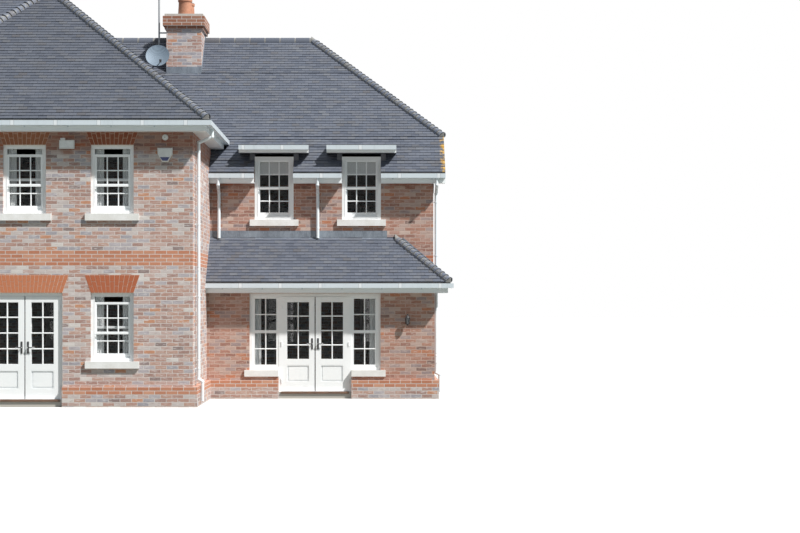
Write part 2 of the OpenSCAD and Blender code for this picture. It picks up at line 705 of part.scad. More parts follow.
// A dormer: lead cheeks beside the window, let into the slope, carry a flat roof with a drip edge
module dormer(x) {
    drip_z = dormer_top - dormer_drip;
    across(x, dormer_roof_w, [[dormer_front + board_t, dormer_roof_z],
        [side_slope_y(dormer_roof_z - seat_gap), dormer_roof_z],
        [side_slope_y(dormer_top - seat_gap), dormer_top],
        [dormer_front, dormer_top], [dormer_front, drip_z], [dormer_front + board_t, drip_z]]);
    across(x, dormer_w, [[side_front, dormer_roof_z], [dormer_back_y, dormer_roof_z],
        [dormer_back_y, dormer_top], [side_front, dormer_top]]);
    for (side = [-1, 1]) across(x + side * (window_w + cheek_w) / 2, cheek_w, [[side_front, side_wall_top],
        [dormer_back_y, dormer_top - roof_v], [dormer_back_y, dormer_top], [side_front, dormer_top]]);
}
module dormers() color(lead) place() for (x = dormer_centres) dormer(x);

// Chimney: a brick stack standing on the ground floor, oversailing to its top under a mortar capping
module chimney_stack() color(brick) place() translate([chimney_x, chimney_front, 0]) {
    translate([0, 0, floor_h]) cube([chimney_w, chimney_d, chimney_top - floor_h]);
    stack_band(oversail, cap_z, course_h);
    stack_band(2 * oversail, cap_z + course_h, (cap_courses - 1) * course_h);
    stack_band(oversail, chimney_top - cap_mortar_h, cap_mortar_h);
}
module stack_band(out, z, h) translate([-out, -out, z]) cube([chimney_w + 2 * out, chimney_d + 2 * out, h]);
module on_pots(z) for (i = [-1, 1])
    translate([chimney_x + chimney_w / 2, chimney_front + chimney_d / 2 + i * chimney_d / 4, z]) children();
pot_taper = 0.9;
module chimney_pots() color(terracotta) place() on_pots(chimney_top) rotate_extrude($fn = 48) polygon([
    [pot_r - pot_t, 0], [pot_r, 0], [pot_r * pot_taper, pot_h - 2 * pot_t], [pot_r, pot_h - 2 * pot_t],
    [pot_r, pot_h], [pot_r * pot_taper - pot_t, pot_h]
]);

// A cowl stands on a pot's rim: a flange, a drum and a domed cap
module chimney_cowls() color(lead) place() on_pots(chimney_top + pot_h) rotate_extrude($fn = 48) {
    flange_h = 15;
    drum_r = pot_r * pot_taper - 2 * pot_t;
    square([pot_r - pot_t / 2, flange_h]);
    square([drum_r, cowl_h - 3 * flange_h]);
    translate([0, cowl_h - 4 * flange_h]) polygon([[0, 0], [pot_r, 0], [pot_r, flange_h], [0, 4 * flange_h]]);
}

// Eaves
module eaves_ring(h, z, far, near) translate([0, 0, z]) linear_extrude(h) difference() {
    polygon(main_outline(far));
    polygon(main_outline(near));
}
module eaves_boards() color(painted) place() {
    difference() {
        union() {
            eaves_ring(fascia_h, main_eave_z - fascia_h, fascia_out, fascia_out - board_t);
            eaves_ring(board_t, main_eave_z - fascia_h, fascia_out, 0);
        }
        translate([1, eave_meet_y, 0]) cube([side_w, 2 * (side_ridge_y - eave_meet_y), main_eave_z]);
    }
    for (back = [0, 1]) side_eaves(back);
    leanto_boards();
}
module side_eaves(back) {
    y = back == 1 ? side_back : side_front;
    cuts = back == 1 ? [] : dormer_centres;
    difference() {
        union() {
            translate([0, back == 1 ? y + fascia_out - board_t : y - fascia_out, side_eave_z - fascia_h])
                cube([verge_x, board_t, fascia_h]);
            translate([0, back == 1 ? y : y - fascia_out, side_eave_z - fascia_h])
                cube([verge_x, fascia_out, board_t]);
        }
        for (x = cuts) translate([x - window_w / 2, 0, 0]) cube([window_w, side_back, main_eave_z]);
    }
    for (x = cuts) translate([x - dormer_roof_w / 2, dormer_front, dormer_roof_z])
        cube([dormer_roof_w, board_t, dormer_roof_t - dormer_drip]);
}
module leanto_boards() {
    z = leanto_eave_z - fascia_h;
    translate([0, 0, z]) linear_extrude(fascia_h) difference() {
        polygon(leanto_outline(fascia_out));
        polygon(leanto_outline(fascia_out - board_t));
    }
    translate([0, 0, z]) linear_extrude(board_t) difference() {
        polygon(leanto_outline(fascia_out));
        polygon(leanto_outline(0));
    }
}
function leanto_outline(d) = [
    [0, leanto_front - d], [side_w + d, leanto_front - d], [side_w + d, side_front], [0, side_front]
];

// Gutters: a trough round each eave
module gutters() color(painted) place() {
    far = fascia_out + gutter_w;
    difference() {
        translate([0, 0, main_eave_z - gutter_h]) {
            linear_extrude(gutter_t) difference() {
                polygon(main_outline(far));
                polygon(main_outline(fascia_out));
            }
            for (d = [far, fascia_out + gutter_t]) linear_extrude(gutter_h) difference() {
                polygon(main_outline(d));
                polygon(main_outline(d - gutter_t));
            }
        }
        translate([1, gutter_meet_y, 0]) cube([side_w, 2 * (side_ridge_y - gutter_meet_y), main_eave_z + 1]);
    }
    for (run = side_gutter_runs) straight_gutter(run);
    translate([0, 0, leanto_eave_z - gutter_h]) {
        linear_extrude(gutter_t) difference() {
            polygon(leanto_outline(far));
            polygon(leanto_outline(fascia_out));
        }
        for (d = [far, fascia_out + gutter_t]) linear_extrude(gutter_h) difference() {
            polygon(leanto_outline(d));
            polygon(leanto_outline(d - gutter_t));
        }
    }
}
// Straight gutters: [left end, right end, back face, base, direction out of the wall]
side_gutter_runs = concat(
    [for (i = [0:2]) [
        i == 0 ? 0 : dormer_centres[i - 1] + window_w / 2,
        i == 2 ? verge_x : dormer_centres[i] - window_w / 2,
        side_front - fascia_out, side_eave_z - gutter_h, -1]],
    [[0, verge_x, side_back + fascia_out, side_eave_z - gutter_h, 1]],
    [for (x = dormer_centres)
        [x - dormer_roof_w / 2, x + dormer_roof_w / 2, dormer_front, dormer_top - dormer_drip - gutter_h, -1]]
);
module straight_gutter(run) translate([run[0], run[2], run[3]]) mirror([0, run[4] < 0 ? 1 : 0, 0])
    rotate([90, 0, 90]) linear_extrude(run[1] - run[0]) difference() {
        square([gutter_w, gutter_h]);
        translate([gutter_t, gutter_t]) square([gutter_w - 2 * gutter_t, gutter_h]);
    }

// Downpipes: [direction to the wall behind, points from the gutter to the foot]
pipe_in = pipe_gap + pipe_r;
pipe_past_plinth = plinth_out + pipe_gap / 2 + pipe_r;
gutter_mid = fascia_out + gutter_w / 2;
neck_drop = 170;
wing_neck_drop = 115;
pipe_foot_z = 90;
neck_gap = 45;
side_neck_z = side_eave_z - fascia_h - neck_gap;
shoe_z = leanto_ridge_z - pipe_in * rise + flash_t / cos(pitch) + pipe_r;
wing_neck_z = main_eave_z - fascia_h - neck_gap;
plinth_neck_up = 80;
plinth_neck_z = plinth_h + plinth_neck_up;
downpipe_runs = concat(
    [[180, [[gutter_mid, wing_pipe_y, main_eave_z - gutter_h], [gutter_mid, wing_pipe_y, wing_neck_z],
        [pipe_in, wing_pipe_y, wing_neck_z - wing_neck_drop],
        [pipe_in, wing_pipe_y, plinth_neck_z + neck_gap],
        [pipe_past_plinth, wing_pipe_y, plinth_neck_z], [pipe_past_plinth, wing_pipe_y, pipe_foot_z]]]],
    [for (x = [pipe_from_wing, (dormer_centres[0] + dormer_centres[1]) / 2])
        [90, [[x, side_front - gutter_mid, side_eave_z - gutter_h], [x, side_front - gutter_mid, side_neck_z],
            [x, side_front - pipe_in, side_neck_z - neck_drop], [x, side_front - pipe_in, shoe_z]]]],
    [[180, [[side_w + pipe_in, side_front - gutter_mid, side_eave_z - gutter_h],
        [side_w + pipe_in, side_front - gutter_mid, side_neck_z],
        [side_w + pipe_in, side_front + pipe_in, side_neck_z - neck_drop],
        [side_w + pipe_in, side_front + pipe_in, plinth_neck_z + neck_gap],
        [side_w + pipe_past_plinth, side_front + pipe_in, plinth_neck_z],
        [side_w + pipe_past_plinth, side_front + pipe_in, pipe_foot_z]]]]
);
// A round bar from a to b
module rod(a, b, r) {
    d = b - a;
    translate(a) rotate([0, acos(d.z / norm(d)), atan2(d.y, d.x)]) cylinder(r = r, h = norm(d), $fn = 32);
}
// Socket bends join a pipe's straight lengths
bend_r = pipe_r + 5;
module downpipe(points) {
    for (i = [1:len(points) - 1]) rod(points[i - 1], points[i], pipe_r);
    for (i = [1:len(points) - 2]) translate(points[i]) sphere(r = bend_r, $fn = 32);
}
// Clips hold a pipe's long stretch, from its third point to its fourth, off the wall behind it
clip_h = 30;
clip_past_lead = 50;
clip_inset = flash_h + clip_past_lead;
clip_spacing = 1900;
module clips(turn, top, foot) {
    count = ceil((top.z - foot.z) / clip_spacing);
    step = (top.z - foot.z - 2 * clip_inset) / count;
    for (i = [0:count]) translate([foot.x, foot.y, foot.z + clip_inset + i * step]) rotate([0, 0, turn]) {
        cylinder(r = bend_r, h = clip_h, $fn = 32);
        translate([0, -pipe_r / 2, 0]) cube([pipe_in, pipe_r, clip_h]);
    }
}
module downpipes() color(painted) place() for (p = downpipe_runs) {
    downpipe(p[1]);
    clips(p[0], p[1][2], p[1][3]);
}

// Windows: box frames with an upper and a lower sash
module ring(w, h, face, t) rotate([90, 0, 0]) translate([0, 0, -t]) linear_extrude(t) difference() {
    translate([-w / 2, 0]) square([w, h]);
    translate([-w / 2 + face, face]) square([w - 2 * face, h - 2 * face]);
}
module sash_window(h, drop) {
    half = (h - 2 * frame_face) / 2;
    sash_w = window_w - 2 * frame_face + 2 * sash_groove;
    sash_h = half + sash_face / 2 + sash_groove;
    ring(window_w, h, frame_face, frame_d);
    translate([0, sash_in, frame_face + half - sash_face / 2 - drop]) ring(sash_w, sash_h, sash_face, sash_t);
    translate([0, sash_in + sash_t + glass_t, frame_face - sash_groove])
        ring(sash_w, sash_h, sash_face, sash_t);
}
// Depth that a sash's edges are let into its box frame
sash_groove = 1;
module window_frames() color(painted) place() {
    for (w = window_walls) on_face(w[0], w[1], w[2]) for (p = w[3])
        translate([p.x, reveal, p.y]) sash_window(window_h, w[1] == 0 ? sash_drop : 0);
    for (x = dormer_centres) translate([x, side_front, dormer_sill_z]) sash_window(dormer_window_h, 0);
}
module panes(w, h) translate([-w / 2 + frame_face, sash_in + sash_t, frame_face])
    cube([w - 2 * frame_face, glass_t, h - 2 * frame_face]);
module window_glass() color(pane) place() {
    for (w = window_walls) on_face(w[0], w[1], w[2]) for (p = w[3])
        translate([p.x, reveal, p.y]) panes(window_w, window_h);
    for (x = dormer_centres) translate([x, side_front, dormer_sill_z]) panes(window_w, dormer_window_h);
    for (side = [-1, 1]) translate([garden_mid + side * (garden_set_w - side_light_w) / 2,
        leanto_front + reveal, floor_h + side_sill_h]) panes(side_light_w, head_h - side_sill_h);
}
module window_sills() color(cast_stone) place() {
    for (w = window_walls) on_face(w[0], w[1], w[2]) for (p = w[3]) sill_block(p.x, p.y, window_w);
    for (x = dormer_centres) on_face(0, side_front, 0) sill_block(x, dormer_sill_z, window_w);
    for (side = [-1, 1]) side_light_sill(side);
}
// The sill under a side light, with its horn on the outer side only
module side_light_sill(side) on_face(garden_mid, leanto_front, 0) mirror([side < 0 ? 1 : 0, 0, 0])
    translate([garden_set_w / 2 - side_light_w + frame_face, -sill_out, floor_h + side_sill_h - sill_h])
        cube([side_light_w - frame_face + sill_horn, sill_out + reveal + frame_d, sill_h]);
module flat_arches() color(orange_brick) place() {
    for (w = window_walls) on_face(w[0], w[1], w[2]) for (p = w[3])
        arch_block(p.x, p.y + window_h, window_w, arch_d);
    arch_block(wing_mid, head_z, wing_door_w, arch_d);
}

// Door frames, set back in the reveal like the windows; a frame stands open at its foot
module open_ring(w, h, face, t) translate([0, t, 0]) rotate([90, 0, 0]) linear_extrude(t) difference() {
    translate([-w / 2, 0]) square([w, h]);
    translate([-w / 2 + face, -1]) square([w - 2 * face, h - face + 1]);
}
module door_frame(w) {
    translate([0, reveal, floor_h]) {
        open_ring(w, head_h, frame_face, frame_d);
        translate([0, leaf_t + leaf_gap, 0])
            open_ring(w, head_h, frame_face + stop_w, frame_d - leaf_t - leaf_gap);
    }
    translate([-w / 2, 0, 0]) cube([w, wall_t, floor_h]);
    for (side = [-1, 1]) translate([side * (w / 2 - frame_face + leaf_gap / 2), pivot_y, 0])
        for (z = hinge_heights) frame_knuckles(side, z);
}

// The frame's two knuckles of a hinge with their flaps; side is -1 at the left jamb
module frame_knuckles(side, z) for (i = [-1, 1])
    translate([0, 0, z + i * (knuckle_h + knuckle_play) - knuckle_h / 2]) knuckle(side);
module knuckle(side) {
    cylinder(r = knuckle_r, h = knuckle_h, $fn = 24);
    translate([side < 0 ? -flap_w : 0, reveal - pivot_y - flap_t, 0]) cube([flap_w, flap_t, knuckle_h]);
}

// A door leaf with its hinge edge at x = 0, drawn for a left leaf
module leaf(w) {
    difference() {
        cube([w, leaf_t, leaf_h]);
        leaf_opening(w, mid_rail_z + mid_rail_h, leaf_h - stile_w);
        leaf_opening(w, bottom_rail_h, mid_rail_z);
    }
    translate([stile_w, leaf_t / 2 - panel_t / 2, bottom_rail_h])
        cube([w - 2 * stile_w, panel_t, mid_rail_z - bottom_rail_h]);
    translate([stile_w + panel_margin, leaf_t / 2 - panel_t, bottom_rail_h + panel_margin])
        cube([w - 2 * stile_w - 2 * panel_margin, 2 * panel_t,
            mid_rail_z - bottom_rail_h - 2 * panel_margin]);
    translate([-leaf_gap / 2, pivot_y - reveal, 0]) for (z = hinge_heights)
        translate([0, 0, z - leaf_z - knuckle_h / 2]) knuckle(1);
    for (back = [0, 1]) translate([w - stile_w / 2, leaf_t / 2, handle_z - leaf_gap]) mirror([0, back, 0])
        translate([0, -leaf_t / 2, 0]) lever_handle();
}
panel_t = 16;
panel_margin = 45;
module leaf_opening(w, foot, top) translate([stile_w, -1, foot])
    cube([w - 2 * stile_w, leaf_t + 2, top - foot]);
module leaf_pane(w) translate([stile_w, leaf_t / 2 - glass_t / 2, mid_rail_z + mid_rail_h])
    cube([w - 2 * stile_w, glass_t, leaf_h - stile_w - mid_rail_z - mid_rail_h]);

// A lever handle on its long plate, pointing to the hinges
plate_w = 34;
plate_h = 230;
plate_t = 8;
lever_r = 9;
lever_l = 110;
lever_out = 50;
module lever_handle() {
    translate([-plate_w / 2, -plate_t, -plate_h / 2]) cube([plate_w, plate_t + 1, plate_h]);
    rotate([90, 0, 0]) cylinder(r = lever_r, h = lever_out, $fn = 24);
    translate([lever_r, -lever_out, 0]) rotate([0, -90, 0])
        cylinder(r = lever_r, h = lever_l + lever_r, $fn = 24);
}

// Puts a leaf in its frame: side is -1 for the left leaf
module hang(mid, front, pivot_x, side)
    translate([mid + side * (pivot_x - leaf_gap / 2), front + reveal, leaf_z])
        mirror([side > 0 ? 1 : 0, 0, 0]) children();
module wing_door(side) hang(wing_mid, 0, wing_pivot_x, side) children();
module garden_door(side) hang(garden_mid, leanto_front, garden_pivot_x, side) children();

module wing_door_frame() color(painted) place() translate([wing_mid, 0, 0]) door_frame(wing_door_w);
module garden_door_frame() color(painted) place() translate([garden_mid, leanto_front, 0]) {
    door_frame(garden_door_w);
    side_light_x = (garden_set_w - side_light_w) / 2;
    for (side = [-1, 1]) translate([side * side_light_x, reveal, floor_h + side_sill_h]) {
        ring(side_light_w, head_h - side_sill_h, frame_face, frame_d);
        translate([0, sash_in, frame_face - sash_groove]) {
            ring(side_light_w - 2 * frame_face + 2 * sash_groove, side_light_h + 2 * sash_groove,
                sash_face, sash_t);
            translate([-side_light_w / 2 + frame_face, 0, side_light_h / 2 - sash_face / 2 + sash_groove])
                cube([side_light_w - 2 * frame_face, sash_t, sash_face]);
        }
    }
}
side_light_h = head_h - side_sill_h - 2 * frame_face;
module wing_leaf_left() color(painted) place() wing_door(-1) leaf(wing_leaf_w);
module wing_leaf_left_glass() color(pane) place() wing_door(-1) leaf_pane(wing_leaf_w);
module wing_leaf_right() color(painted) place() wing_door(1) leaf(wing_leaf_w);
module wing_leaf_right_glass() color(pane) place() wing_door(1) leaf_pane(wing_leaf_w);
module garden_leaf_left() color(painted) place() garden_door(-1) leaf(garden_leaf_w);
module garden_leaf_left_glass() color(pane) place() garden_door(-1) leaf_pane(garden_leaf_w);
module garden_leaf_right() color(painted) place() garden_door(1) leaf(garden_leaf_w);
module garden_leaf_right_glass() color(pane) place() garden_door(1) leaf_pane(garden_leaf_w);

// Aerial mast on the stack's left face, with the dish on an arm in front of it
mast_r = 20;
mast_x = chimney_x - mast_out;
mast_y = chimney_front + mast_in;
mast_grip = 1080;
dish_drop = 1000;
dish_deep = 55;
dish_t = 8;
dish_tilt = 22;
arm_w = 30;
module aerial_and_dish() color(lead) place() {
    mast_foot = chimney_top - mast_grip;
    translate([mast_x, mast_y, mast_foot]) cylinder(r = mast_r, h = mast_grip + mast_up, $fn = 24);
    for (z = [mast_foot + mast_grip / 5, mast_foot + mast_grip * 3 / 5])
        translate([mast_x, mast_y - arm_w / 2, z]) cube([chimney_x - mast_x, arm_w, arm_w]);
    translate([mast_x, mast_y - dish_reach, chimney_top - dish_drop]) {
        rotate([90 - dish_tilt, 0, 0]) dish();
        translate([-arm_w / 2, 0, -arm_w / 2]) cube([arm_w, dish_reach, arm_w]);
    }
}
// A shallow bowl with its back at the origin, opening upwards
module dish() rotate_extrude($fn = 64) polygon(concat(
    [for (i = [0:6]) [dish_r * i / 6, dish_deep * pow(i / 6, 2)]],
    [for (i = [6:-1:0]) [dish_r * i / 6, dish_deep * pow(i / 6, 2) + dish_t]]
));

// Fittings on the garden front: flood light, sensor, alarm box and a lantern
light_d = 110;
sensor_d = 60;
alarm_d = 80;
alarm_foot_w = 0.4 * alarm_w;
alarm_taper_h = 0.55 * alarm_h;
lantern_r = 55;
lantern_glass_h = 180;
lantern_out = 110;
plate_half = 50;
lamp_arm = 24;
module wall_fittings() color(painted) place() {
    translate([wing_mid + light_x - light_w / 2, -light_d, soffit_z - light_drop - light_h])
        cube([light_w, light_d, light_h]);
    translate([-alarm_x, 0, soffit_z - sensor_drop]) rotate([90, 0, 0])
        cylinder(r = sensor_r, h = sensor_d, $fn = 32);
    translate([-alarm_x, 0, soffit_z - alarm_drop - alarm_h]) rotate([90, 0, 0]) linear_extrude(alarm_d)
        polygon([[-alarm_foot_w / 2, 0], [alarm_foot_w / 2, 0], [alarm_w / 2, alarm_taper_h],
            [alarm_w / 2, alarm_h], [-alarm_w / 2, alarm_h], [-alarm_w / 2, alarm_taper_h]]);
    translate([side_w - lantern_x, leanto_front, floor_h + lantern_h]) {
        translate([-plate_half, -board_t, plate_half]) cube([2 * plate_half, board_t, 4 * plate_half]);
        translate([-lamp_arm / 2, -lantern_out, lantern_glass_h])
            cube([lamp_arm, lantern_out - board_t / 2, lamp_arm]);
        translate([0, -lantern_out, 0]) cylinder(r = lantern_r, h = lantern_glass_h + lamp_arm / 2, $fn = 12);
    }
}

ground_floor();
ground_floor_side();
upper_floor();
upper_floor_side();
wing_front_wall_left();
wing_front_wall_right();
wing_front_wall_over_door();
wing_left_wall();
wing_right_wall();
main_front_wall();
main_left_wall();
main_rear_wall();
main_right_wall();
side_front_wall();
side_right_wall();
side_rear_wall();
leanto_wall_left();
leanto_wall_right();
leanto_lintel();
plinth();
wing_roof_front();
wing_roof_left();
wing_roof_right();
main_roof_front();
main_roof_left();
main_roof_rear();
main_roof_right();
side_roof_front();
side_roof_rear();
side_roof_half_hip();
leanto_roof_front();
leanto_roof_hip();
ridge_tiles();
hip_tiles();
lead_flashings();
dormers();
chimney_stack();
chimney_pots();
chimney_cowls();
eaves_boards();
gutters();
downpipes();
window_frames();
window_glass();
window_sills();
flat_arches();
wing_door_frame();
garden_door_frame();
wing_leaf_left();
wing_leaf_left_glass();
wing_leaf_right();
wing_leaf_right_glass();
garden_leaf_left();
garden_leaf_left_glass();
garden_leaf_right();
garden_leaf_right_glass();
aerial_and_dish();
wall_fittings();
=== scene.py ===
import json
import math
import bmesh
import bpy
from mathutils import Matrix, Vector


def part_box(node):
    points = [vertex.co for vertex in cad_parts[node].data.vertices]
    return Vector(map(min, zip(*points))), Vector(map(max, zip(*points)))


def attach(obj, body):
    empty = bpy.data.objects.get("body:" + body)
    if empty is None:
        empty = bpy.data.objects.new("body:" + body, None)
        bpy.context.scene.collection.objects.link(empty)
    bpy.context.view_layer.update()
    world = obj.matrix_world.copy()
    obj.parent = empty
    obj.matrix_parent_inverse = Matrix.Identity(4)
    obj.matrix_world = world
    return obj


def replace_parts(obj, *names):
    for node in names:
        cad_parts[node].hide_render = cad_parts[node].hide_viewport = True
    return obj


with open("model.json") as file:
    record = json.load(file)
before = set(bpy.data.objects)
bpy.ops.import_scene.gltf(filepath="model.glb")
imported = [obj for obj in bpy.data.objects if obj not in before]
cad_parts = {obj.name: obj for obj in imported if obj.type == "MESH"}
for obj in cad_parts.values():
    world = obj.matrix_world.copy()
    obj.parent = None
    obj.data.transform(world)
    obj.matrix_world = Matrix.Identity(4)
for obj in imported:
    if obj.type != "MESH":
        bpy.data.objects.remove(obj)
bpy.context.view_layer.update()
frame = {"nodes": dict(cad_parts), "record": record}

scene = bpy.context.scene
scene.view_settings.view_transform = "Standard"
nodes = frame["nodes"]
print("frame loaded with", len(nodes), "solids")


def summed(operation, swapped=False):
    return lambda self, other: self.tree.sums(operation, *((other, self) if swapped else (self, other)))


# one node of a tree with one of its outputs, so that sums on it read as plain Python
class Wire:
    def __init__(self, tree, node, outlet=None):
        self.tree, self.node = tree, node
        first = next((s for s in node.outputs if s.enabled), None)
        self.socket = first if outlet is None else node.outputs[outlet]

    def __getitem__(self, outlet):
        return Wire(self.tree, self.node, outlet)

    __add__, __radd__ = summed("ADD"), summed("ADD", True)
    __sub__, __rsub__ = summed("SUBTRACT"), summed("SUBTRACT", True)
    __mul__, __truediv__ = summed("MULTIPLY"), summed("DIVIDE")
    __gt__, __lt__ = summed("GREATER_THAN"), summed("LESS_THAN")


# a node tree being built: put adds any node, its settings first and then its sockets
class Tree:
    def __init__(self, group):
        self.group = group

    def put(self, kind, settings=None, values=None):
        node = self.group.nodes.new(kind)
        for name, value in (settings or {}).items():
            if name == "stops":
                self.setStops(node.color_ramp, value)
            else:
                setattr(node, name, value)
        for name, value in (values.items() if isinstance(values, dict) else enumerate(values or [])):
            free = [s for s in node.inputs if s.enabled]
            socket = free[name] if isinstance(name, int) else next(s for s in free if s.name == name)
            if isinstance(value, Wire):
                self.group.links.new(value.socket, socket)
            else:
                socket.default_value = value
        return Wire(self, node)

    def setStops(self, ramp, stops):
        for place, colour in stops[2:]:
            ramp.elements.new(place)
        for element, (place, colour) in zip(ramp.elements, stops):
            element.position, element.color = place, (*colour, 1.0)

    def sums(self, operation, *values):
        return self.put("ShaderNodeMath", {"operation": operation}, list(values))

    def size(self, value):
        return self.sums("ABSOLUTE", value)

    def floor(self, value):
        return self.sums("FLOOR", value)

    def least(self, *values):
        return self.sums("MINIMUM", *values)

    def noise(self, where, size, detail=3.0, rough=0.55):
        return self.put("ShaderNodeTexNoise", {"noise_dimensions": "3D"},
                        {"Vector": where, "Scale": size, "Detail": detail, "Roughness": rough})

    def ramp(self, value, stops):
        return self.put("ShaderNodeValToRGB", {"stops": stops}, [value])

    def blend(self, share, first, second, kind="MIX"):
        pair = [value if isinstance(value, Wire) else (*value, 1.0) for value in (first, second)]
        return self.put("ShaderNodeMix", {"data_type": "RGBA", "blend_type": kind},
                        {"Factor": share, "A": pair[0], "B": pair[1]})

    def scaled(self, colour, factor):
        return self.put("ShaderNodeVectorMath", {"operation": "SCALE"}, {"Vector": colour, "Scale": factor})

    def step(self, value, low, high):
        return self.put("ShaderNodeMapRange", {"interpolation_type": "SMOOTHSTEP"},
                        {"Value": value, "From Min": low, "From Max": high})

    def point(self, *parts):
        return self.put("ShaderNodeCombineXYZ", None, list(parts))

    def parts(self, vector):
        return self.put("ShaderNodeSeparateXYZ", None, [vector])

    def place(self):
        return self.put("ShaderNodeTexCoord")["Object"]

    def facing(self):
        return self.parts(self.put("ShaderNodeTexCoord")["Normal"])

    def tint(self):
        return self.put("ShaderNodeAttribute", {"attribute_name": "tint"})["Fac"]

    def bump(self, height, strength, distance):
        return self.put("ShaderNodeBump", None,
                        {"Height": height, "Strength": strength, "Distance": distance})

    def surface(self, **sockets):
        names = {"colour": "Base Color", "rough": "Roughness", "metal": "Metallic", "normal": "Normal",
                 "alpha": "Alpha", "gloss": "Specular IOR Level"}
        shader = self.put("ShaderNodeBsdfPrincipled", None,
                          {names[key]: value for key, value in sockets.items()})
        self.put("ShaderNodeOutputMaterial", None, {"Surface": shader})


def newMaterial(name):
    made = bpy.data.materials.new(name)
    made.use_nodes = True
    made.node_tree.nodes.clear()
    return made, Tree(made.node_tree)


# facing brick in stretcher bond, drawn true to scale on the wall's own place and facing
brickLook = {
    "course": 0.075, "length": 0.225, "joint": 0.011, "ragged": 0.006, "raggedSize": 45.0,
    "tones": [
        (0.00, (0.47, 0.285, 0.235)), (0.18, (0.54, 0.39, 0.35)), (0.34, (0.39, 0.245, 0.21)),
        (0.46, (0.46, 0.42, 0.445)), (0.57, (0.51, 0.32, 0.26)), (0.72, (0.58, 0.51, 0.49)),
        (0.82, (0.37, 0.35, 0.385)), (0.89, (0.57, 0.28, 0.17)), (0.94, (0.28, 0.21, 0.20)),
        (0.97, (0.68, 0.63, 0.60))],
    "orange": [(0.0, (0.58, 0.255, 0.155)), (0.5, (0.50, 0.20, 0.115)), (1.0, (0.64, 0.33, 0.22))],
    "bloom": (0.74, 0.70, 0.69), "bloomShare": 0.66, "scorch": (0.25, 0.15, 0.13), "scorchShare": 0.50,
    "mortar": (0.79, 0.76, 0.75), "oldMortar": (0.66, 0.60, 0.54), "mortarLight": 0.92,
    # the colour, fade and wander below are painted shade of the eaves, multiplied into the top of the walls
    # and partly meant as soiling
    "soot": (0.60, 0.42, 0.35), "sootFade": 0.24, "sootWander": 0.30,
    "cap": ((0.40, 0.38, 0.35), (0.62, 0.60, 0.56)),
}


def brickMaterial(name, start, bands, capping=None, toneAndShade=(1.0, 1.0, 1.0), bandShare=1.0, soot=None):
    look = brickLook
    made, tree = newMaterial(name)
    place = tree.place()
    at, facing = tree.parts(place), tree.facing()
    sideways, flat = tree.size(facing["X"]) > 0.5, tree.size(facing["Z"]) > 0.6
    along = at["X"] + (at["Y"] - at["X"]) * sideways
    level = at["Z"] + (at["Y"] - at["Z"]) * flat
    course = (level - start) / look["course"]
    row = tree.floor(course)
    run = along / look["length"] + tree.sums("FRACT", row * 0.5)
    column = tree.floor(run)
    rise, reach = course - row, run - column
    edge = tree.least(tree.least(rise, 1 - rise) * look["course"],
                      tree.least(reach, 1 - reach) * look["length"])
    edge = edge + (tree.noise(place, look["raggedSize"]) - 0.5) * look["ragged"]
    brick = tree.step(edge, look["joint"] / 2 - 0.001, look["joint"] / 2 + 0.002)
    chance = tree.put("ShaderNodeTexWhiteNoise", {"noise_dimensions": "3D"},
                      {"Vector": tree.point(column, row, sideways)})
    second = tree.parts(chance["Color"])
    tones = tree.ramp(chance["Value"], look["tones"])
    tones.node.color_ramp.interpolation = "CONSTANT"
    # drag marks and pale bloom lie along each brick, different on every one
    spot = tree.point(along * 9.0 + second["X"] * 40.0, level * 60.0, second["Y"] * 30.0)
    drag = tree.noise(spot, 1.0, 4.0, 0.6)
    colour = tree.blend(tree.step(drag, 0.52, 0.66) * look["bloomShare"], tones, look["bloom"])
    colour = tree.blend(tree.step(drag, 0.44, 0.30) * look["scorchShare"], colour, look["scorch"])
    mask = sum((at["Z"] > low) * (at["Z"] < high) for low, high in bands)
    orange = tree.scaled(tree.ramp(second["Z"], look["orange"]), (0.80 + drag * 0.35) * bandShare)
    colour = tree.blend(mask, colour, orange)
    weather = tree.noise(place, 0.55, 5.0, 0.6) * 0.30 + tree.noise(place, 3.2, 3.0) * 0.14 + 0.70
    mortar = tree.blend(tree.noise(place, 30.0), look["mortar"], look["oldMortar"])
    colour = tree.blend(brick, tree.scaled(mortar, look["mortarLight"]), colour)
    # a tone multiplied over all; on the side walls it is partly a redder batch and partly painted shade
    colour = tree.blend(1.0, tree.scaled(colour, weather), toneAndShade, "MULTIPLY")
    # painted shade of the eaves, partly meant as soiling: the colour darkens upwards from the given height,
    # where the eaves' shadow falls
    if soot is not None:
        wander = (tree.noise(place, 5.0, 4.0) - 0.5) * look["sootWander"]
        eaveShadeMask = tree.step(at["Z"] + wander, soot, soot + look["sootFade"])
        colour = tree.blend(eaveShadeMask, colour, tree.blend(1.0, colour, look["soot"], "MULTIPLY"))
    if capping is not None:
        colour = tree.blend(at["Z"] > capping, colour, tree.blend(tree.noise(place, 14.0, 5.0), *look["cap"]))
    grain = tree.noise(place, 160.0, 2.0) * 0.5 + drag * 0.5
    tree.surface(colour=colour, rough=0.94 - brick * 0.10,
                 normal=tree.bump(brick * 0.7 + grain * 0.3, 0.55, 0.004))
    return made


# the tile's colour comes from its own number; clouds, lichen and a gold verge lie over all of them
tileLook = {
    "tones": [(0.0, (0.080, 0.093, 0.125)), (0.35, (0.098, 0.113, 0.148)), (0.62, (0.112, 0.126, 0.160)),
              (0.82, (0.104, 0.114, 0.140)), (0.94, (0.128, 0.140, 0.166)), (1.0, (0.094, 0.096, 0.110))],
    "lichen": (0.36, 0.35, 0.29), "lichenShare": 0.55, "gold": (0.60, 0.36, 0.07), "goldShare": 0.90,
    "goldFrom": 0.12, "goldTo": 0.04,
}


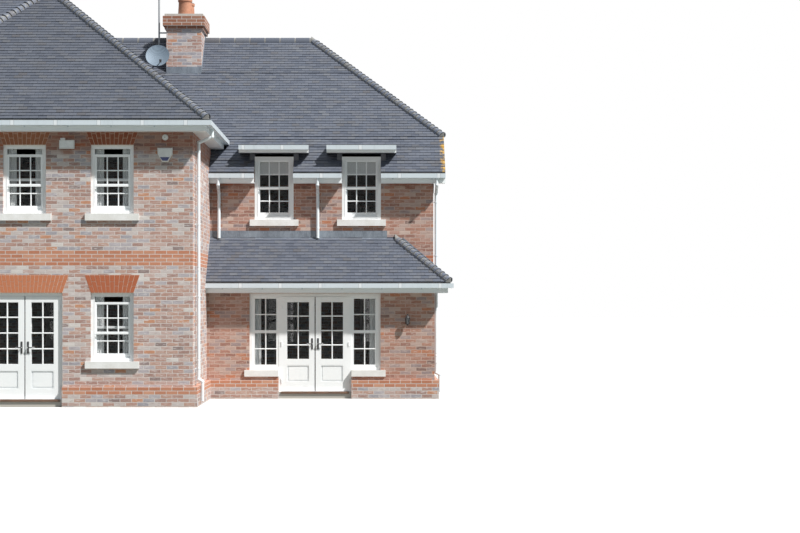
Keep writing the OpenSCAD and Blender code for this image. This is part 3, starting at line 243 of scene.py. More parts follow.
def tileMaterial(name, lichen, verge=None, share=1.0):
    look = tileLook
    made, tree = newMaterial(name)
    place = tree.place()
    cloud, grain = tree.noise(place, 1.3, 5.0, 0.6), tree.noise(place, 42.0, 4.0, 0.6)
    light = (0.56 + cloud * 0.38 + grain * 0.38) * share
    spots = tree.step(tree.noise(place, 17.0, 4.0, 0.65), 0.74 - lichen, 0.80 - lichen)
    colour = tree.blend(spots * look["lichenShare"],
                        tree.scaled(tree.ramp(tree.tint(), look["tones"]), light), look["lichen"])
    if verge is not None:
        edge = tree.step(tree.parts(place)["X"], verge - look["goldFrom"], verge - look["goldTo"])
        patch = tree.step(tree.noise(place, 7.0, 4.0, 0.7), 0.43, 0.53)
        colour = tree.blend(edge * patch * look["goldShare"], colour, look["gold"])
    tree.surface(colour=colour, rough=0.62 + grain * 0.22, normal=tree.bump(grain + cloud * 0.3, 0.35, 0.003))
    return made


# two tones of one stuff in soft patches of a given size
def plainMaterial(name, light, dark, size, rough, strength=0.25, distance=0.002, metal=0.0,
                  stretch=(1.0, 1.0, 1.0)):
    made, tree = newMaterial(name)
    place = tree.put("ShaderNodeVectorMath", {"operation": "MULTIPLY"}, [tree.place(), stretch])
    coarse, fine = tree.noise(place, size, 5.0, 0.6), tree.noise(place, size * 14.0, 3.0)
    tree.surface(colour=tree.blend(tree.step(coarse * 0.7 + fine * 0.3, 0.30, 0.70), dark, light),
                 rough=rough + (fine - 0.5) * 0.16, metal=metal,
                 normal=tree.bump(coarse * 0.4 + fine * 0.6, strength, distance))
    return made


# paint or plastic with faint streaks; below foot it is the bare block that carries a door set,
# and unions ring a gutter or pipe at that spacing
paintLook = {"bare": (0.50, 0.47, 0.43), "union": (0.88, 0.90, 0.92), "unionHalf": 0.036,
             "seam": (0.30, 0.33, 0.36), "seamFrom": 0.030, "seamTo": 0.040}


def paintMaterial(name, colour, soiled, rough, ribs, foot=None, unions=None, upright=False):
    look = paintLook
    made, tree = newMaterial(name)
    place = tree.place()
    at = tree.parts(place)
    streaks = tree.noise(tree.point(at["X"] * 9.0, at["Y"] * 9.0, at["Z"] * 1.2), 1.0, 4.0, 0.6)
    brush = tree.noise(tree.point(at["X"] * 90.0, at["Y"] * 90.0, at["Z"] * 6.0), 1.0, 2.0)
    grime = tree.step(streaks, 0.48, 0.82) * 0.45 + tree.step(tree.noise(place, 2.0, 4.0), 0.5, 0.8) * 0.20
    shown, height = tree.blend(grime, colour, soiled), brush * ribs + streaks * 0.3
    if foot is not None:
        shown = tree.blend(at["Z"] < foot, shown, look["bare"])
    if unions is not None:
        level = at["X"] + (at["Y"] - at["X"]) * (tree.size(tree.facing()["X"]) > 0.5)
        along = at["Z"] if upright else level
        off = tree.size(tree.sums("FRACT", along / unions) - 0.5) * unions
        band, seam = off < look["unionHalf"], (off > look["seamFrom"]) * (off < look["seamTo"])
        shown = tree.blend(seam * 0.55, tree.blend(band * 0.5, shown, look["union"]), look["seam"])
        height = height + band * 0.6
    tree.surface(colour=shown, rough=rough + brush * 0.12, normal=tree.bump(height, 0.10, 0.001))
    return made


def glassMaterial(name, clear):
    made, tree = newMaterial(name)
    ripple = tree.noise(tree.place(), 2.4, 2.0)
    film = tree.step(tree.noise(tree.place(), 6.0, 4.0), 0.45, 0.85)
    tree.surface(colour=tree.blend(film, (0.010, 0.013, 0.016), (0.040, 0.048, 0.052)),
                 rough=0.02 + film * 0.05, alpha=1 - clear, gloss=1.0, normal=tree.bump(ripple, 0.06, 0.01))
    return made


# a sheet of small round holes, drawn as darker dots on the dish; what lies in front of split is plain metal
def meshMetal(name, split):
    made, tree = newMaterial(name)
    place = tree.place()
    cells = tree.put("ShaderNodeTexVoronoi", {"feature": "F1"},
                     {"Vector": place, "Scale": 62.0, "Randomness": 0.0})
    holes = tree.step(cells["Distance"], 0.42, 0.34)
    worn = tree.noise(place, 9.0, 4.0)
    dish = tree.blend(worn, (0.15, 0.20, 0.26), (0.22, 0.28, 0.34))
    metal = tree.blend(worn, (0.42, 0.44, 0.46), (0.28, 0.30, 0.32))
    colour = tree.blend(tree.parts(place)["Y"] > split,
                        tree.blend(holes * 0.6, dish, (0.05, 0.07, 0.09)), metal)
    tree.surface(colour=colour, rough=0.5 + worn * 0.2, metal=0.2, normal=tree.bump(1 - holes, 0.3, 0.002))
    return made


# arch bricks, darker above the height where the painted shade of the eaves begins, partly meant as soiling
gaugedLook = {"sootShare": 0.46, "tones": [
    (0.0, (0.44, 0.125, 0.055)), (0.45, (0.53, 0.165, 0.075)), (1.0, (0.60, 0.235, 0.120))]}


def gaugedMaterial(name, soot):
    made, tree = newMaterial(name)
    place = tree.place()
    eaveShadeMask = tree.step(tree.parts(place)["Z"], soot, soot + brickLook["sootFade"])
    rub = tree.noise(place, 38.0, 4.0, 0.6)
    light = (0.72 + rub * 0.36) * (1 - eaveShadeMask * gaugedLook["sootShare"])
    tree.surface(colour=tree.scaled(tree.ramp(tree.tint(), gaugedLook["tones"]), light), rough=0.86,
                 normal=tree.bump(rub, 0.3, 0.002))
    return made


# setting-out corner: the wing's right front corner at the ground
wallLow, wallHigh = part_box("wing_front_wall_right")
corner = Vector((wallHigh.x, wallLow.y, 0.0))
onWall = Matrix.Translation(corner)


def near(node):
    low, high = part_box(node)
    return low - corner, high - corner


stackLow, stackHigh = near("chimney_stack")
coping = {"oversail": 0.076, "height": 0.050, "courses": 4}
capZ = stackHigh.z - coping["height"] - coping["courses"] * brickLook["course"]
plinthTop = near("plinth")[1].z
vergeX = near("side_roof_half_hip")[1].x + corner.x
# the two heights after the band are where the painted shade of the eaves begins on the main and the side
# walls
walls = {"start": -0.015, "band": (2.760, 3.060), "soot": 4.84, "sideSoot": 4.42,
         "sideTone": (0.84, 0.69, 0.62), "plinthBand": 0.150, "above": 9.0, "stackShare": 0.62}
finishes = {
    "wallBrick": brickMaterial("wallBrick", walls["start"], [walls["band"]], soot=walls["soot"]),
    # side walls: a darker, redder copy of the brick, partly a different batch and partly painted shade
    "sideBatchAndShadeBrick": brickMaterial("sideBatchAndShadeBrick", walls["start"], [walls["band"]], toneAndShade=walls["sideTone"],
                               soot=walls["sideSoot"]),
    "plinthBrick": brickMaterial("plinthBrick", plinthTop,
                                 [(plinthTop - walls["plinthBand"], walls["above"])]),
    "stackBrick": brickMaterial("stackBrick", capZ, [(capZ, stackHigh.z)],
                                stackHigh.z - coping["height"], bandShare=walls["stackShare"]),
    "roofTile": tileMaterial("roofTile", 0.04),
    "wingTile": tileMaterial("wingTile", 0.05, share=0.80),
    "vergeTile": tileMaterial("vergeTile", 0.06, vergeX),
    "bonnetTile": tileMaterial("bonnetTile", 0.20, share=1.5),
    "slateUnder": plainMaterial("roofUnderlay", (0.13, 0.125, 0.125), (0.055, 0.055, 0.06), 6.0, 0.85),
    "ridgeMortar": plainMaterial("ridgeMortar", (0.26, 0.26, 0.25), (0.13, 0.13, 0.13), 7.0, 0.92,
                                 0.5, 0.006),
    "lead": plainMaterial("weatheredLead", (0.27, 0.31, 0.36), (0.115, 0.135, 0.165), 3.5, 0.55, 0.3, 0.004,
                          stretch=(1.0, 1.0, 0.35)),
    # a darker copy of the lead for the dormers: painted shade of their roofs' overhang on the cheeks and
    # soffits
    "paintedShadeLead": plainMaterial("paintedShadeLead", (0.125, 0.135, 0.155), (0.060, 0.064, 0.075), 3.5, 0.6, 0.3, 0.004),
    "terracotta": plainMaterial("firedClay", (0.56, 0.275, 0.175), (0.35, 0.150, 0.092), 5.0, 0.82),
    "paint": paintMaterial("whitePaint", (0.91, 0.93, 0.94), (0.80, 0.84, 0.87), 0.30, 1.0),
    # the eaves boards' paint, paler and bluer than the white paint: painted sky light in their shade
    "skyLitBoardPaint": paintMaterial("skyLitBoardPaint", (0.90, 0.94, 0.96), (0.78, 0.84, 0.88), 0.34, 1.0),
    "doorPaint": paintMaterial("doorPaint", (0.91, 0.93, 0.94), (0.80, 0.84, 0.87), 0.30, 1.0,
                               foot=near("ground_floor")[1].z),
    # the gutters' white plastic is tinted blue-grey and darkened: a painted reflection of the sky and painted
    # shade
    "plastic": paintMaterial("skyTintedGutter", (0.62, 0.69, 0.74), (0.45, 0.51, 0.55), 0.34, 0.2, unions=0.84),
    "pipePlastic": paintMaterial("whitePipe", (0.76, 0.82, 0.86), (0.62, 0.68, 0.72), 0.34, 0.2, unions=1.8,
                                 upright=True),
    "stone": plainMaterial("castStone", (0.86, 0.86, 0.86), (0.72, 0.71, 0.68), 4.0, 0.88, 0.35, 0.003),
    "floor": plainMaterial("floatedConcrete", (0.46, 0.45, 0.43), (0.33, 0.32, 0.30), 2.2, 0.85),
    "boards": plainMaterial("floorBoards", (0.46, 0.35, 0.24), (0.28, 0.20, 0.13), 1.6, 0.6,
                            stretch=(0.4, 9.0, 1.0)),
    "glass": glassMaterial("clearGlass", 0.90),
    # nearly opaque dark glass: on the plain windows it is painted shade of the unlit rooms behind them; the
    # lantern's glass uses it too
    "paintedShadeGlass": glassMaterial("paintedShadeGlass", 0.18),
    "gauged": gaugedMaterial("gaugedBrick", walls["soot"]),
    "archJoint": plainMaterial("archJoints", (0.76, 0.64, 0.54), (0.60, 0.46, 0.37), 20.0, 0.92),
    "greyMetal": plainMaterial("galvanised", (0.36, 0.37, 0.38), (0.22, 0.23, 0.24), 8.0, 0.5, metal=0.5),
    "dishMesh": meshMetal("dishMesh", corner.y + stackLow.y + coping["oversail"]),
    "blackMetal": plainMaterial("blackMetal", (0.045, 0.045, 0.05), (0.018, 0.018, 0.02), 9.0, 0.4),
    "bluePlastic": plainMaterial("bluePlastic", (0.030, 0.045, 0.16), (0.018, 0.026, 0.10), 6.0, 0.35),
    "boxPlastic": plainMaterial("boxPlastic", (0.78, 0.79, 0.78), (0.66, 0.67, 0.66), 5.0, 0.4),
    "cloth": plainMaterial("curtainCloth", (0.95, 0.96, 0.96), (0.85, 0.87, 0.88), 12.0, 0.95,
                           stretch=(3.0, 3.0, 0.3)),
    "bronze": plainMaterial("thresholdBronze", (0.20, 0.105, 0.065), (0.11, 0.060, 0.040), 7.0, 0.45),
    "lampGlass": plainMaterial("lampGlass", (0.82, 0.84, 0.84), (0.68, 0.70, 0.71), 10.0, 0.2),
}
slotFinish = {
    "brick": "wallBrick", "concrete": "floor", "timber_floor": "boards", "roof_tile": "slateUnder",
    "lead": "lead", "terracotta": "terracotta", "white_plastic": "plastic", "white_paint": "paint",
    "glass": "glass", "cast_stone": "stone", "gauged_brick": "archJoint", "grey_metal": "greyMetal",
    "fitting_plastic": "boxPlastic",
}
ownFinish = {
    "plinth": "plinthBrick", "chimney_stack": "stackBrick", "ridge_tiles": "ridgeMortar",
    "hip_tiles": "ridgeMortar", "dormers": "paintedShadeLead", "eaves_boards": "skyLitBoardPaint",
    "downpipes": "pipePlastic", "aerial_and_dish": "dishMesh", "wing_door_frame": "doorPaint",
    "garden_door_frame": "doorPaint",
}
ownFinish.update({name: "sideBatchAndShadeBrick" for name in nodes if name.startswith(("side_", "leanto_"))
                  and name.split("_")[1] in ("front", "right", "rear", "wall", "lintel")})
for part in frame["record"]["subparts"]:
    mesh = nodes[part["node"]].data
    mesh.materials.clear()
    mesh.materials.append(finishes[ownFinish.get(part["node"], slotFinish[part["material_slot"]])])
print("finishes made:", len(finishes))


def addPiece(name, mesh, finish, body="house"):
    piece = bpy.data.objects.new(name, mesh)
    scene.collection.objects.link(piece)
    if not mesh.materials:
        mesh.materials.append(finishes[finish])
    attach(piece, body)
    return piece


def meshOf(name, verts, faces):
    mesh = bpy.data.meshes.new(name)
    mesh.from_pydata([tuple(v) for v in verts], [], faces)
    mesh.update()
    return mesh


def circle(sides):
    return [(math.cos(2 * math.pi * k / sides), math.sin(2 * math.pi * k / sides)) for k in range(sides)]


# collects bars, tubes and turned shapes, then hands them over as one mesh or piece
class Work:
    def __init__(self):
        self.verts, self.faces = [], []

    def add(self, verts, faces):
        base = len(self.verts)
        self.verts += [Vector(v) for v in verts]
        self.faces += [[base + i for i in face] for face in faces]

    def loft(self, rings):
        count, last = len(rings[0]), len(rings) - 1
        faces = []
        for k in range(last):
            for i in range(count):
                here, beside = k * count + i, k * count + (i + 1) % count
                faces.append([here, beside, beside + count, here + count])
        faces += [list(range(count))[::-1], [last * count + i for i in range(count)]]
        self.add([v for ring in rings for v in ring], faces)

    # a box with its long edges eased by soft
    def bar(self, low, high, soft=0.0):
        low, high = Vector(low), Vector(high)
        size = high - low
        axis = max(range(3), key=lambda i: size[i])
        u, v = [i for i in range(3) if i != axis]
        wide, tall = size[u], size[v]
        soft = min(soft, wide * 0.45, tall * 0.45)
        outline = [(0, 0), (wide, 0), (wide, tall), (0, tall)]
        if soft > 0:
            outline = [(soft, 0), (wide - soft, 0), (wide, soft), (wide, tall - soft),
                       (wide - soft, tall), (soft, tall), (0, tall - soft), (0, soft)]
        rings = []
        for end in (low[axis], high[axis]):
            ring = []
            for a, b in outline:
                spot = [0.0, 0.0, 0.0]
                spot[axis], spot[u], spot[v] = end, low[u] + a, low[v] + b
                ring.append(spot)
            rings.append(ring)
        self.loft(rings)

    def tube(self, path, radius, sides):
        path, rings = [Vector(spot) for spot in path], []
        for i, spot in enumerate(path):
            way = (path[min(i + 1, len(path) - 1)] - path[max(i - 1, 0)]).normalized()
            side = way.orthogonal().normalized()
            up = way.cross(side)
            rings.append([spot + side * radius * c + up * radius * s for c, s in circle(sides)])
        self.loft(rings)

    # profile: radius and height of each ring
    def turned(self, profile, centre, sides):
        self.loft([[Vector(centre) + Vector((r * c, r * s, z)) for c, s in circle(sides)]
                   for r, z in profile])

    def mesh(self, name, matrix=None):
        made = meshOf(name, self.verts, self.faces)
        work = bmesh.new()
        work.from_mesh(made)
        bmesh.ops.recalc_face_normals(work, faces=work.faces)
        work.to_mesh(made)
        work.free()
        if matrix is not None:
            made.transform(matrix)
        return made

    def piece(self, name, finish, slot, matrix, body="house"):
        return addPiece(name, self.mesh(name, matrix), finish, body)


# Geometry Nodes: a shape set out on points, and courses of tiles on a slope
def newGroup(name, inputs):
    group = bpy.data.node_groups.new(name, "GeometryNodeTree")
    group.interface.new_socket("Geometry", in_out="OUTPUT", socket_type="NodeSocketGeometry")
    group.interface.new_socket("Geometry", in_out="INPUT", socket_type="NodeSocketGeometry")
    for label, kind in inputs:
        group.interface.new_socket(label, in_out="INPUT", socket_type="NodeSocket" + kind)
    tree = Tree(group)
    return group, tree, tree.put("NodeGroupInput")


def chanceOf(tree, seed, low=0.0, high=1.0):
    kind = "FLOAT_VECTOR" if isinstance(low, tuple) else "FLOAT"
    return tree.put("FunctionNodeRandomValue", {"data_type": kind}, {"Min": low, "Max": high, "Seed": seed})


# a real copy of the shape on every point, each with its own number from 0 to 1, named tint
def copiesOn(tree, points, entry, angles):
    shape = tree.put("GeometryNodeObjectInfo", None, {"Object": entry["Shape"]})["Geometry"]
    turned = tree.put("FunctionNodeEulerToRotation", None, {"Euler": angles})
    laid = tree.put("GeometryNodeInstanceOnPoints", None,
                    {"Points": points, "Instance": shape, "Rotation": turned})
    named = tree.put("GeometryNodeStoreNamedAttribute", {"data_type": "FLOAT", "domain": "INSTANCE"},
                     {"Geometry": laid, "Name": "tint", "Value": chanceOf(tree, entry["Seed"])})
    return tree.put("GeometryNodeRealizeInstances", None, {"Geometry": named})


def close(tree, geometry, entry):
    done = tree.put("GeometryNodeSetMaterial", None, {"Geometry": geometry, "Material": entry["Finish"]})
    tree.put("NodeGroupOutput", None, {"Geometry": done})


def setOutGroup():
    group, tree, entry = newGroup("setOut", [("Shape", "Object"), ("Finish", "Material"), ("Shake", "Vector"),
                                             ("Seed", "Int")])
    turn = tree.put("GeometryNodeInputNamedAttribute", {"data_type": "FLOAT_VECTOR"}, {"Name": "turn"})
    loose = chanceOf(tree, entry["Seed"], (-1.0, -1.0, -1.0), (1.0, 1.0, 1.0))
    angles = tree.put("ShaderNodeVectorMath", {"operation": "MULTIPLY_ADD"}, [loose, entry["Shake"], turn])
    close(tree, copiesOn(tree, entry["Geometry"], entry, angles), entry)
    return group


tiles = {"gauge": 0.100, "width": 0.165, "tuck": 0.022, "tail": 0.017, "head": 0.003, "lift": 0.003,
         "gap": 0.003, "under": -0.004, "loose": (0.010, 0.012, 0.006), "sliver": 0.00002}


def coursesGroup():
    whole = ("Seed", "Rows", "Columns", "First Row", "First Column")
    lengths = ("Gauge", "Width", "Low", "High", "Left Start", "Left Lean", "Right Start", "Right Lean",
               "Lift")
    group, tree, entry = newGroup("tileCourses", [
        ("Shape", "Object"), ("Finish", "Material"), *((label, "Int") for label in whole),
        *((label, "Float") for label in lengths)])
    index = tree.put("GeometryNodeInputIndex")
    line = tree.floor((index + 0.5) / entry["Columns"])
    column = index - line * entry["Columns"] + entry["First Column"]
    row = line + entry["First Row"]
    across = (column + tree.sums("FRACT", row * 0.5)) * entry["Width"]
    lift = chanceOf(tree, entry["Seed"]) * entry["Lift"]
    grid = tree.put("GeometryNodePoints", None, {
        "Count": tree.sums("MULTIPLY", entry["Rows"], entry["Columns"]),
        "Position": tree.point(across, row * entry["Gauge"], lift)})
    loose = chanceOf(tree, entry["Seed"], tuple(-turn for turn in tiles["loose"]), tiles["loose"])
    real = copiesOn(tree, grid, entry, loose)
    # tiles are cut to the hip, valley or verge on either side and to the slope's top
    at = tree.parts(tree.put("GeometryNodeInputPosition"))
    high = tree.least(tree.sums("MAXIMUM", at["Y"], entry["Low"]), entry["High"])
    left = entry["Left Start"] + entry["Left Lean"] * high
    right = entry["Right Start"] + entry["Right Lean"] * high
    wide = tree.least(tree.sums("MAXIMUM", at["X"], left), right)
    cut = tree.put("GeometryNodeSetPosition", None,
                   {"Geometry": real, "Position": tree.point(wide, high, at["Z"])})
    sliver = tree.put("GeometryNodeInputMeshFaceArea") < tiles["sliver"]
    kept = tree.put("GeometryNodeDeleteGeometry", {"domain": "FACE"}, {"Geometry": cut, "Selection": sliver})
    close(tree, kept, entry)
    return group


def grow(group, points, inputs):
    carrier = bpy.data.objects.new("carrier", points)
    scene.collection.objects.link(carrier)
    modifier = carrier.modifiers.new("grow", "NODES")
    modifier.node_group = group
    keys = {s.name: s.identifier for s in group.interface.items_tree if s.in_out == "INPUT"}
    for label, value in inputs.items():
        modifier[keys[label]] = value
    bpy.context.view_layer.update()
    made = bpy.data.meshes.new_from_object(carrier.evaluated_get(bpy.context.evaluated_depsgraph_get()))
    bpy.data.objects.remove(carrier)
    return made


def shapeObject(name, mesh):
    made = bpy.data.objects.new(name, mesh)
    scene.collection.objects.link(made)
    made.hide_render = True
    return made


setOutNodes, coursesNodes = setOutGroup(), coursesGroup()


# places: a list of (point, turn) in setting-out coordinates
def setOut(name, shape, places, finish, shake=(0.0, 0.0, 0.0), seed=1):
    points = meshOf(name + "Points", [corner + Vector(p) for p, turn in places], [])
    turns = points.attributes.new("turn", "FLOAT_VECTOR", "POINT")
    turns.data.foreach_set("vector", [float(a) for p, turn in places for a in turn])
    carrier = shapeObject(name + "Shape", shape)
    made = grow(setOutNodes, points,
                {"Shape": carrier, "Finish": finishes[finish], "Shake": shake, "Seed": seed})
    bpy.data.objects.remove(carrier)
    made.name = name
    return addPiece(name, made, finish)


def joined(name, meshes):
    work = bmesh.new()
    for mesh in meshes:
        work.from_mesh(mesh)
    made = bpy.data.meshes.new(name)
    work.to_mesh(made)
    work.free()
    return made


# main lines of the roofs, read from the solids' boxes
pitch = math.radians(40.0)
rise = math.tan(pitch)
wingRoof, mainFront, mainLeft = near("wing_roof_front"), near("main_roof_front"), near("main_roof_left")
mainRight, sideRoof, halfHip = near("main_roof_right"), near("side_roof_front"), near("side_roof_half_hip")
leanRoof, leanHip = near("leanto_roof_front"), near("leanto_roof_hip")
tileOut = wingRoof[1].x
wingMid = (wingRoof[0].x + wingRoof[1].x) / 2
wingRun = wingRoof[1].x - wingMid
mainRun, sideRun, leanRun = [roof[1].y - roof[0].y for roof in (mainFront, sideRoof, leanRoof)]
mainTop, wingTop, sideTop, leanTop = mainFront[1].z, wingRoof[1].z, sideRoof[1].z, leanRoof[1].z
mainEave, sideEave, leanEave = mainTop - mainRun * rise, sideTop - sideRun * rise, leanTop - leanRun * rise
mainW, mainY, mainBack = mainFront[0].x, mainFront[0].y, mainRight[1].y
ridgeY, ridgeLeft, ridgeRight = mainFront[1].y, mainLeft[1].x, mainRight[0].x
sideY, sideRidgeY, vergeEnd = sideRoof[0].y, sideRoof[1].y, halfHip[1].x
sideBackY = 2 * sideRidgeY - sideY
valleyY = sideY + (mainEave - sideEave) / rise
valleyRun = sideRidgeY - valleyY
hipY, hipRun = halfHip[0].y, halfHip[1].x - halfHip[0].x
hipBackY, hipEave = 2 * sideRidgeY - hipY, halfHip[1].z - hipRun * rise
wingMeetY = mainY + wingRun
stack = {"left": stackLow.x + coping["oversail"], "right": stackHigh.x - coping["oversail"],
         "front": stackLow.y + coping["oversail"]}
dormer = {"centres": [1.388, 3.276], "frame": 0.42, "cheek": 0.531, "back": 0.721, "front": 0.325,
          "soffit": 0.274}


def tileShape():
    wide, far = tiles["width"] - tiles["gap"], tiles["gauge"] + tiles["tuck"]
    tail, head, under = tiles["tail"], tiles["head"], tiles["under"]
    verts = [(0, 0, under), (wide, 0, under), (wide, 0, tail), (0, 0, tail),
             (0, far, head), (wide, far, head), (0, far, under), (wide, far, under)]
    return meshOf("tileShape", verts, [[0, 1, 2, 3], [3, 2, 5, 4], [0, 3, 4, 6], [1, 7, 5, 2]])


facings = {  # direction along the eave and direction into the roof
    "front": (Vector((1, 0, 0)), Vector((0, 1, 0))), "right": (Vector((0, 1, 0)), Vector((-1, 0, 0))),
    "rear": (Vector((-1, 0, 0)), Vector((0, -1, 0))), "left": (Vector((0, -1, 0)), Vector((1, 0, 0))),
}


# one field of courses: from run low to run high, with its ends on the left and right at both runs
def tileField(facing, eave, height, low, high, ends, finish, seed):
    along, into = facings[facing]
    (a0, a1), (b0, b1) = ends
    if facing in ("rear", "left"):
        (a0, a1), (b0, b1) = (-b0, -b1), (-a0, -a1)
    foot, top = low / math.cos(pitch), high / math.cos(pitch)
    leanA, leanB = (a1 - a0) / (top - foot), (b1 - b0) / (top - foot)
    firstRow = math.floor(foot / tiles["gauge"] + 0.001)
    firstColumn = math.floor(min(a0, a1) / tiles["width"]) - 1
    made = grow(coursesNodes, meshOf("seedPoint", [(0, 0, 0)], []), {
        "Shape": tileCarrier, "Finish": finishes[finish], "Seed": seed,
        "Rows": math.ceil(top / tiles["gauge"]) - firstRow,
        "Columns": math.ceil(max(b0, b1) / tiles["width"]) - firstColumn + 1,
        "First Row": firstRow, "First Column": firstColumn, "Gauge": tiles["gauge"], "Width": tiles["width"],
        "Low": foot, "High": top, "Left Start": a0 - leanA * foot, "Left Lean": leanA,
        "Right Start": b0 - leanB * foot, "Right Lean": leanB, "Lift": tiles["lift"]})
    up = into * math.cos(pitch) + Vector((0, 0, math.sin(pitch)))
    start = corner + (Vector((0, eave, height)) if facing in ("front", "rear") else Vector((eave, 0, height)))
    columns = (along, up, along.cross(up), start)
    made.transform(Matrix([[c[i] for c in columns] for i in range(3)] + [[0, 0, 0, 1]]))
    return made


tileCarrier = shapeObject("tileShape", tileShape())
# runs of the side slope at which the valleys, the verges' half hip and the stack start
valleyAt, vergeAt, stackAt = valleyY - sideY, hipY - sideY, stack["front"] - sideY
soffitAt = valleyAt - dormer["soffit"]
dormerAt, dormerEnd = dormer["front"], dormer["back"]
left1, right1, left2, right2, cheek1, cheekEnd1, cheek2, cheekEnd2 = [
    c + side * dormer[part] for part in ("frame", "cheek") for c in dormer["centres"] for side in (-1, 1)]


# the valley's and the half hip's places along the eave at a run of the side slope
def valley(run):
    return tileOut - (run - valleyAt)


def halfHipX(run):
    return vergeEnd - (run - vergeAt)


def steady(x):
    return (x, x)


verge = steady(vergeEnd)
# facing, eave, its height and finish, then fields of runs from low to high with their left and right ends
slopes = {
    "wingFrontTiles": ("front", wingRoof[0].y, mainEave, "wingTile", [
        (0, wingRun, (wingRoof[0].x, wingMid), (wingRoof[1].x, wingMid))]),
    "wingLeftTiles": ("left", wingRoof[0].x, mainEave, "wingTile", [
        (0, wingRun, (wingRoof[0].y, wingRoof[0].y + wingRun), (mainY, wingMeetY))]),
    "rightSlopeTiles": ("right", tileOut, mainEave, "roofTile", [
        (0, valleyRun, (-tileOut, -tileOut + valleyRun), (valleyY, valleyY + valleyRun)),
        (0, valleyRun, (2 * sideRidgeY - valleyY, 2 * sideRidgeY - valleyY - valleyRun),
         (mainBack, mainBack - valleyRun)),
        (valleyRun, wingRun, (-tileOut + valleyRun, -tileOut + wingRun),
         (mainBack - valleyRun, mainBack - wingRun)),
        (wingRun, mainRun, (wingMeetY, wingMeetY + mainRun - wingRun),
         (mainBack - wingRun, mainBack - mainRun))]),
    "mainFrontTiles": ("front", mainY, mainEave, "roofTile", [
        (0, wingRun, (mainW, mainW + wingRun), (wingRoof[0].x, wingMid)),
        (wingRun, mainRun, (mainW + wingRun, mainW + mainRun), (wingMid, ridgeRight))]),
    "mainLeftTiles": ("left", mainW, mainEave, "roofTile",
                      [(0, mainRun, (mainY, ridgeY), (mainBack, ridgeY))]),
    "mainRearTiles": ("rear", mainBack, mainEave, "roofTile", [
        (0, mainRun, (mainW, mainW + mainRun), (tileOut, tileOut - mainRun))]),
    "sideFrontTiles": ("front", sideY, sideEave, "vergeTile", [
        (0, dormerAt, steady(0.0), steady(left1)), (0, dormerAt, steady(right1), steady(left2)),
        (0, dormerAt, steady(right2), verge), (dormerAt, soffitAt, steady(0.0), steady(cheek1)),
        (soffitAt, dormerEnd, steady(tileOut), steady(cheek1)),
        (dormerAt, dormerEnd, steady(cheekEnd1), steady(cheek2)),
        (dormerAt, dormerEnd, steady(cheekEnd2), verge),
        (dormerEnd, valleyAt, steady(tileOut), verge), (valleyAt, vergeAt, (tileOut, valley(vergeAt)), verge),
        (vergeAt, stackAt, (valley(vergeAt), valley(stackAt)), (vergeEnd, halfHipX(stackAt))),
        (stackAt, sideRun, (valley(stackAt), valley(sideRun)), steady(stack["left"])),
        (stackAt, sideRun, steady(stack["right"]), (halfHipX(stackAt), halfHipX(sideRun)))]),
    "sideRearTiles": ("rear", sideBackY, sideEave, "vergeTile", [
        (0, soffitAt, steady(0.0), verge), (soffitAt, valleyAt, steady(tileOut), verge),
        (valleyAt, vergeAt, (tileOut, valley(vergeAt)), verge),
        (vergeAt, sideRun, (valley(vergeAt), valley(sideRun)), (vergeEnd, halfHipX(sideRun)))]),
    "halfHipTiles": ("right", vergeEnd, hipEave, "vergeTile", [
        (0, hipRun, (hipY, hipY + hipRun), (hipBackY, hipBackY - hipRun))]),
    "leanFrontTiles": ("front", leanRoof[0].y, leanEave, "roofTile", [
        (0, leanRun, steady(0.0), (leanHip[1].x, leanHip[1].x - leanRun))]),
    "leanHipTiles": ("right", leanHip[1].x, leanEave, "roofTile", [
        (0, leanRun, (leanRoof[0].y, leanRoof[0].y + leanRun), steady(leanRoof[1].y))]),
}
for number, (name, (facing, eave, height, finish, fields)) in enumerate(slopes.items()):
    meshes = [tileField(facing, eave, height, low, high, (left, right), finish, 10 * number + k)
              for k, (low, high, left, right) in enumerate(fields)]
    addPiece(name, joined(name, meshes), finish)
bpy.data.objects.remove(tileCarrier)
print("roof slopes tiled:", len(slopes))

# half-round ridge tiles and bonnets, each lapped over its mortar bed
capping = {"ridge": 0.115, "step": 0.330, "gap": 0.012, "ridgeSpread": 108, "bonnet": 0.102,
           "bonnetHead": 0.074, "bonnetLong": 0.160, "bonnetLift": 0.008, "bonnetSpread": 100,
           "thick": 0.014, "bed": 0.025, "inset": 0.045, "headClear": 0.05, "cadRidge": 0.110,
           "cadBonnet": 0.085, "clear": 0.10, "stackGap": 0.01}


def archTile(low, high, length, centreLow, centreHigh, spread, sides=9):
    work = Work()
    rings = []
    for radius, centre, x in ((low, centreLow, 0.0), (high, centreHigh, length)):
        angles = [math.radians(-spread + 2 * spread * i / sides) for i in range(sides + 1)]
        inside = radius - capping["thick"]
        rings.append([(x, radius * math.sin(a), centre + radius * math.cos(a)) for a in angles]
                     + [(x, inside * math.sin(a), centre + inside * math.cos(a)) for a in reversed(angles)])
    count = len(rings[0])
    faces = [[i, (i + 1) % count, count + (i + 1) % count, count + i] for i in range(sides + 1)]
    faces += [[i, i + 1, count - 2 - i, count - 1 - i] for i in range(sides)]
    faces += [[count + i + 1, count + i, 2 * count - 1 - i, 2 * count - 2 - i] for i in range(sides)]
    work.add(rings[0] + rings[1], faces)
    return work.mesh("archTile")


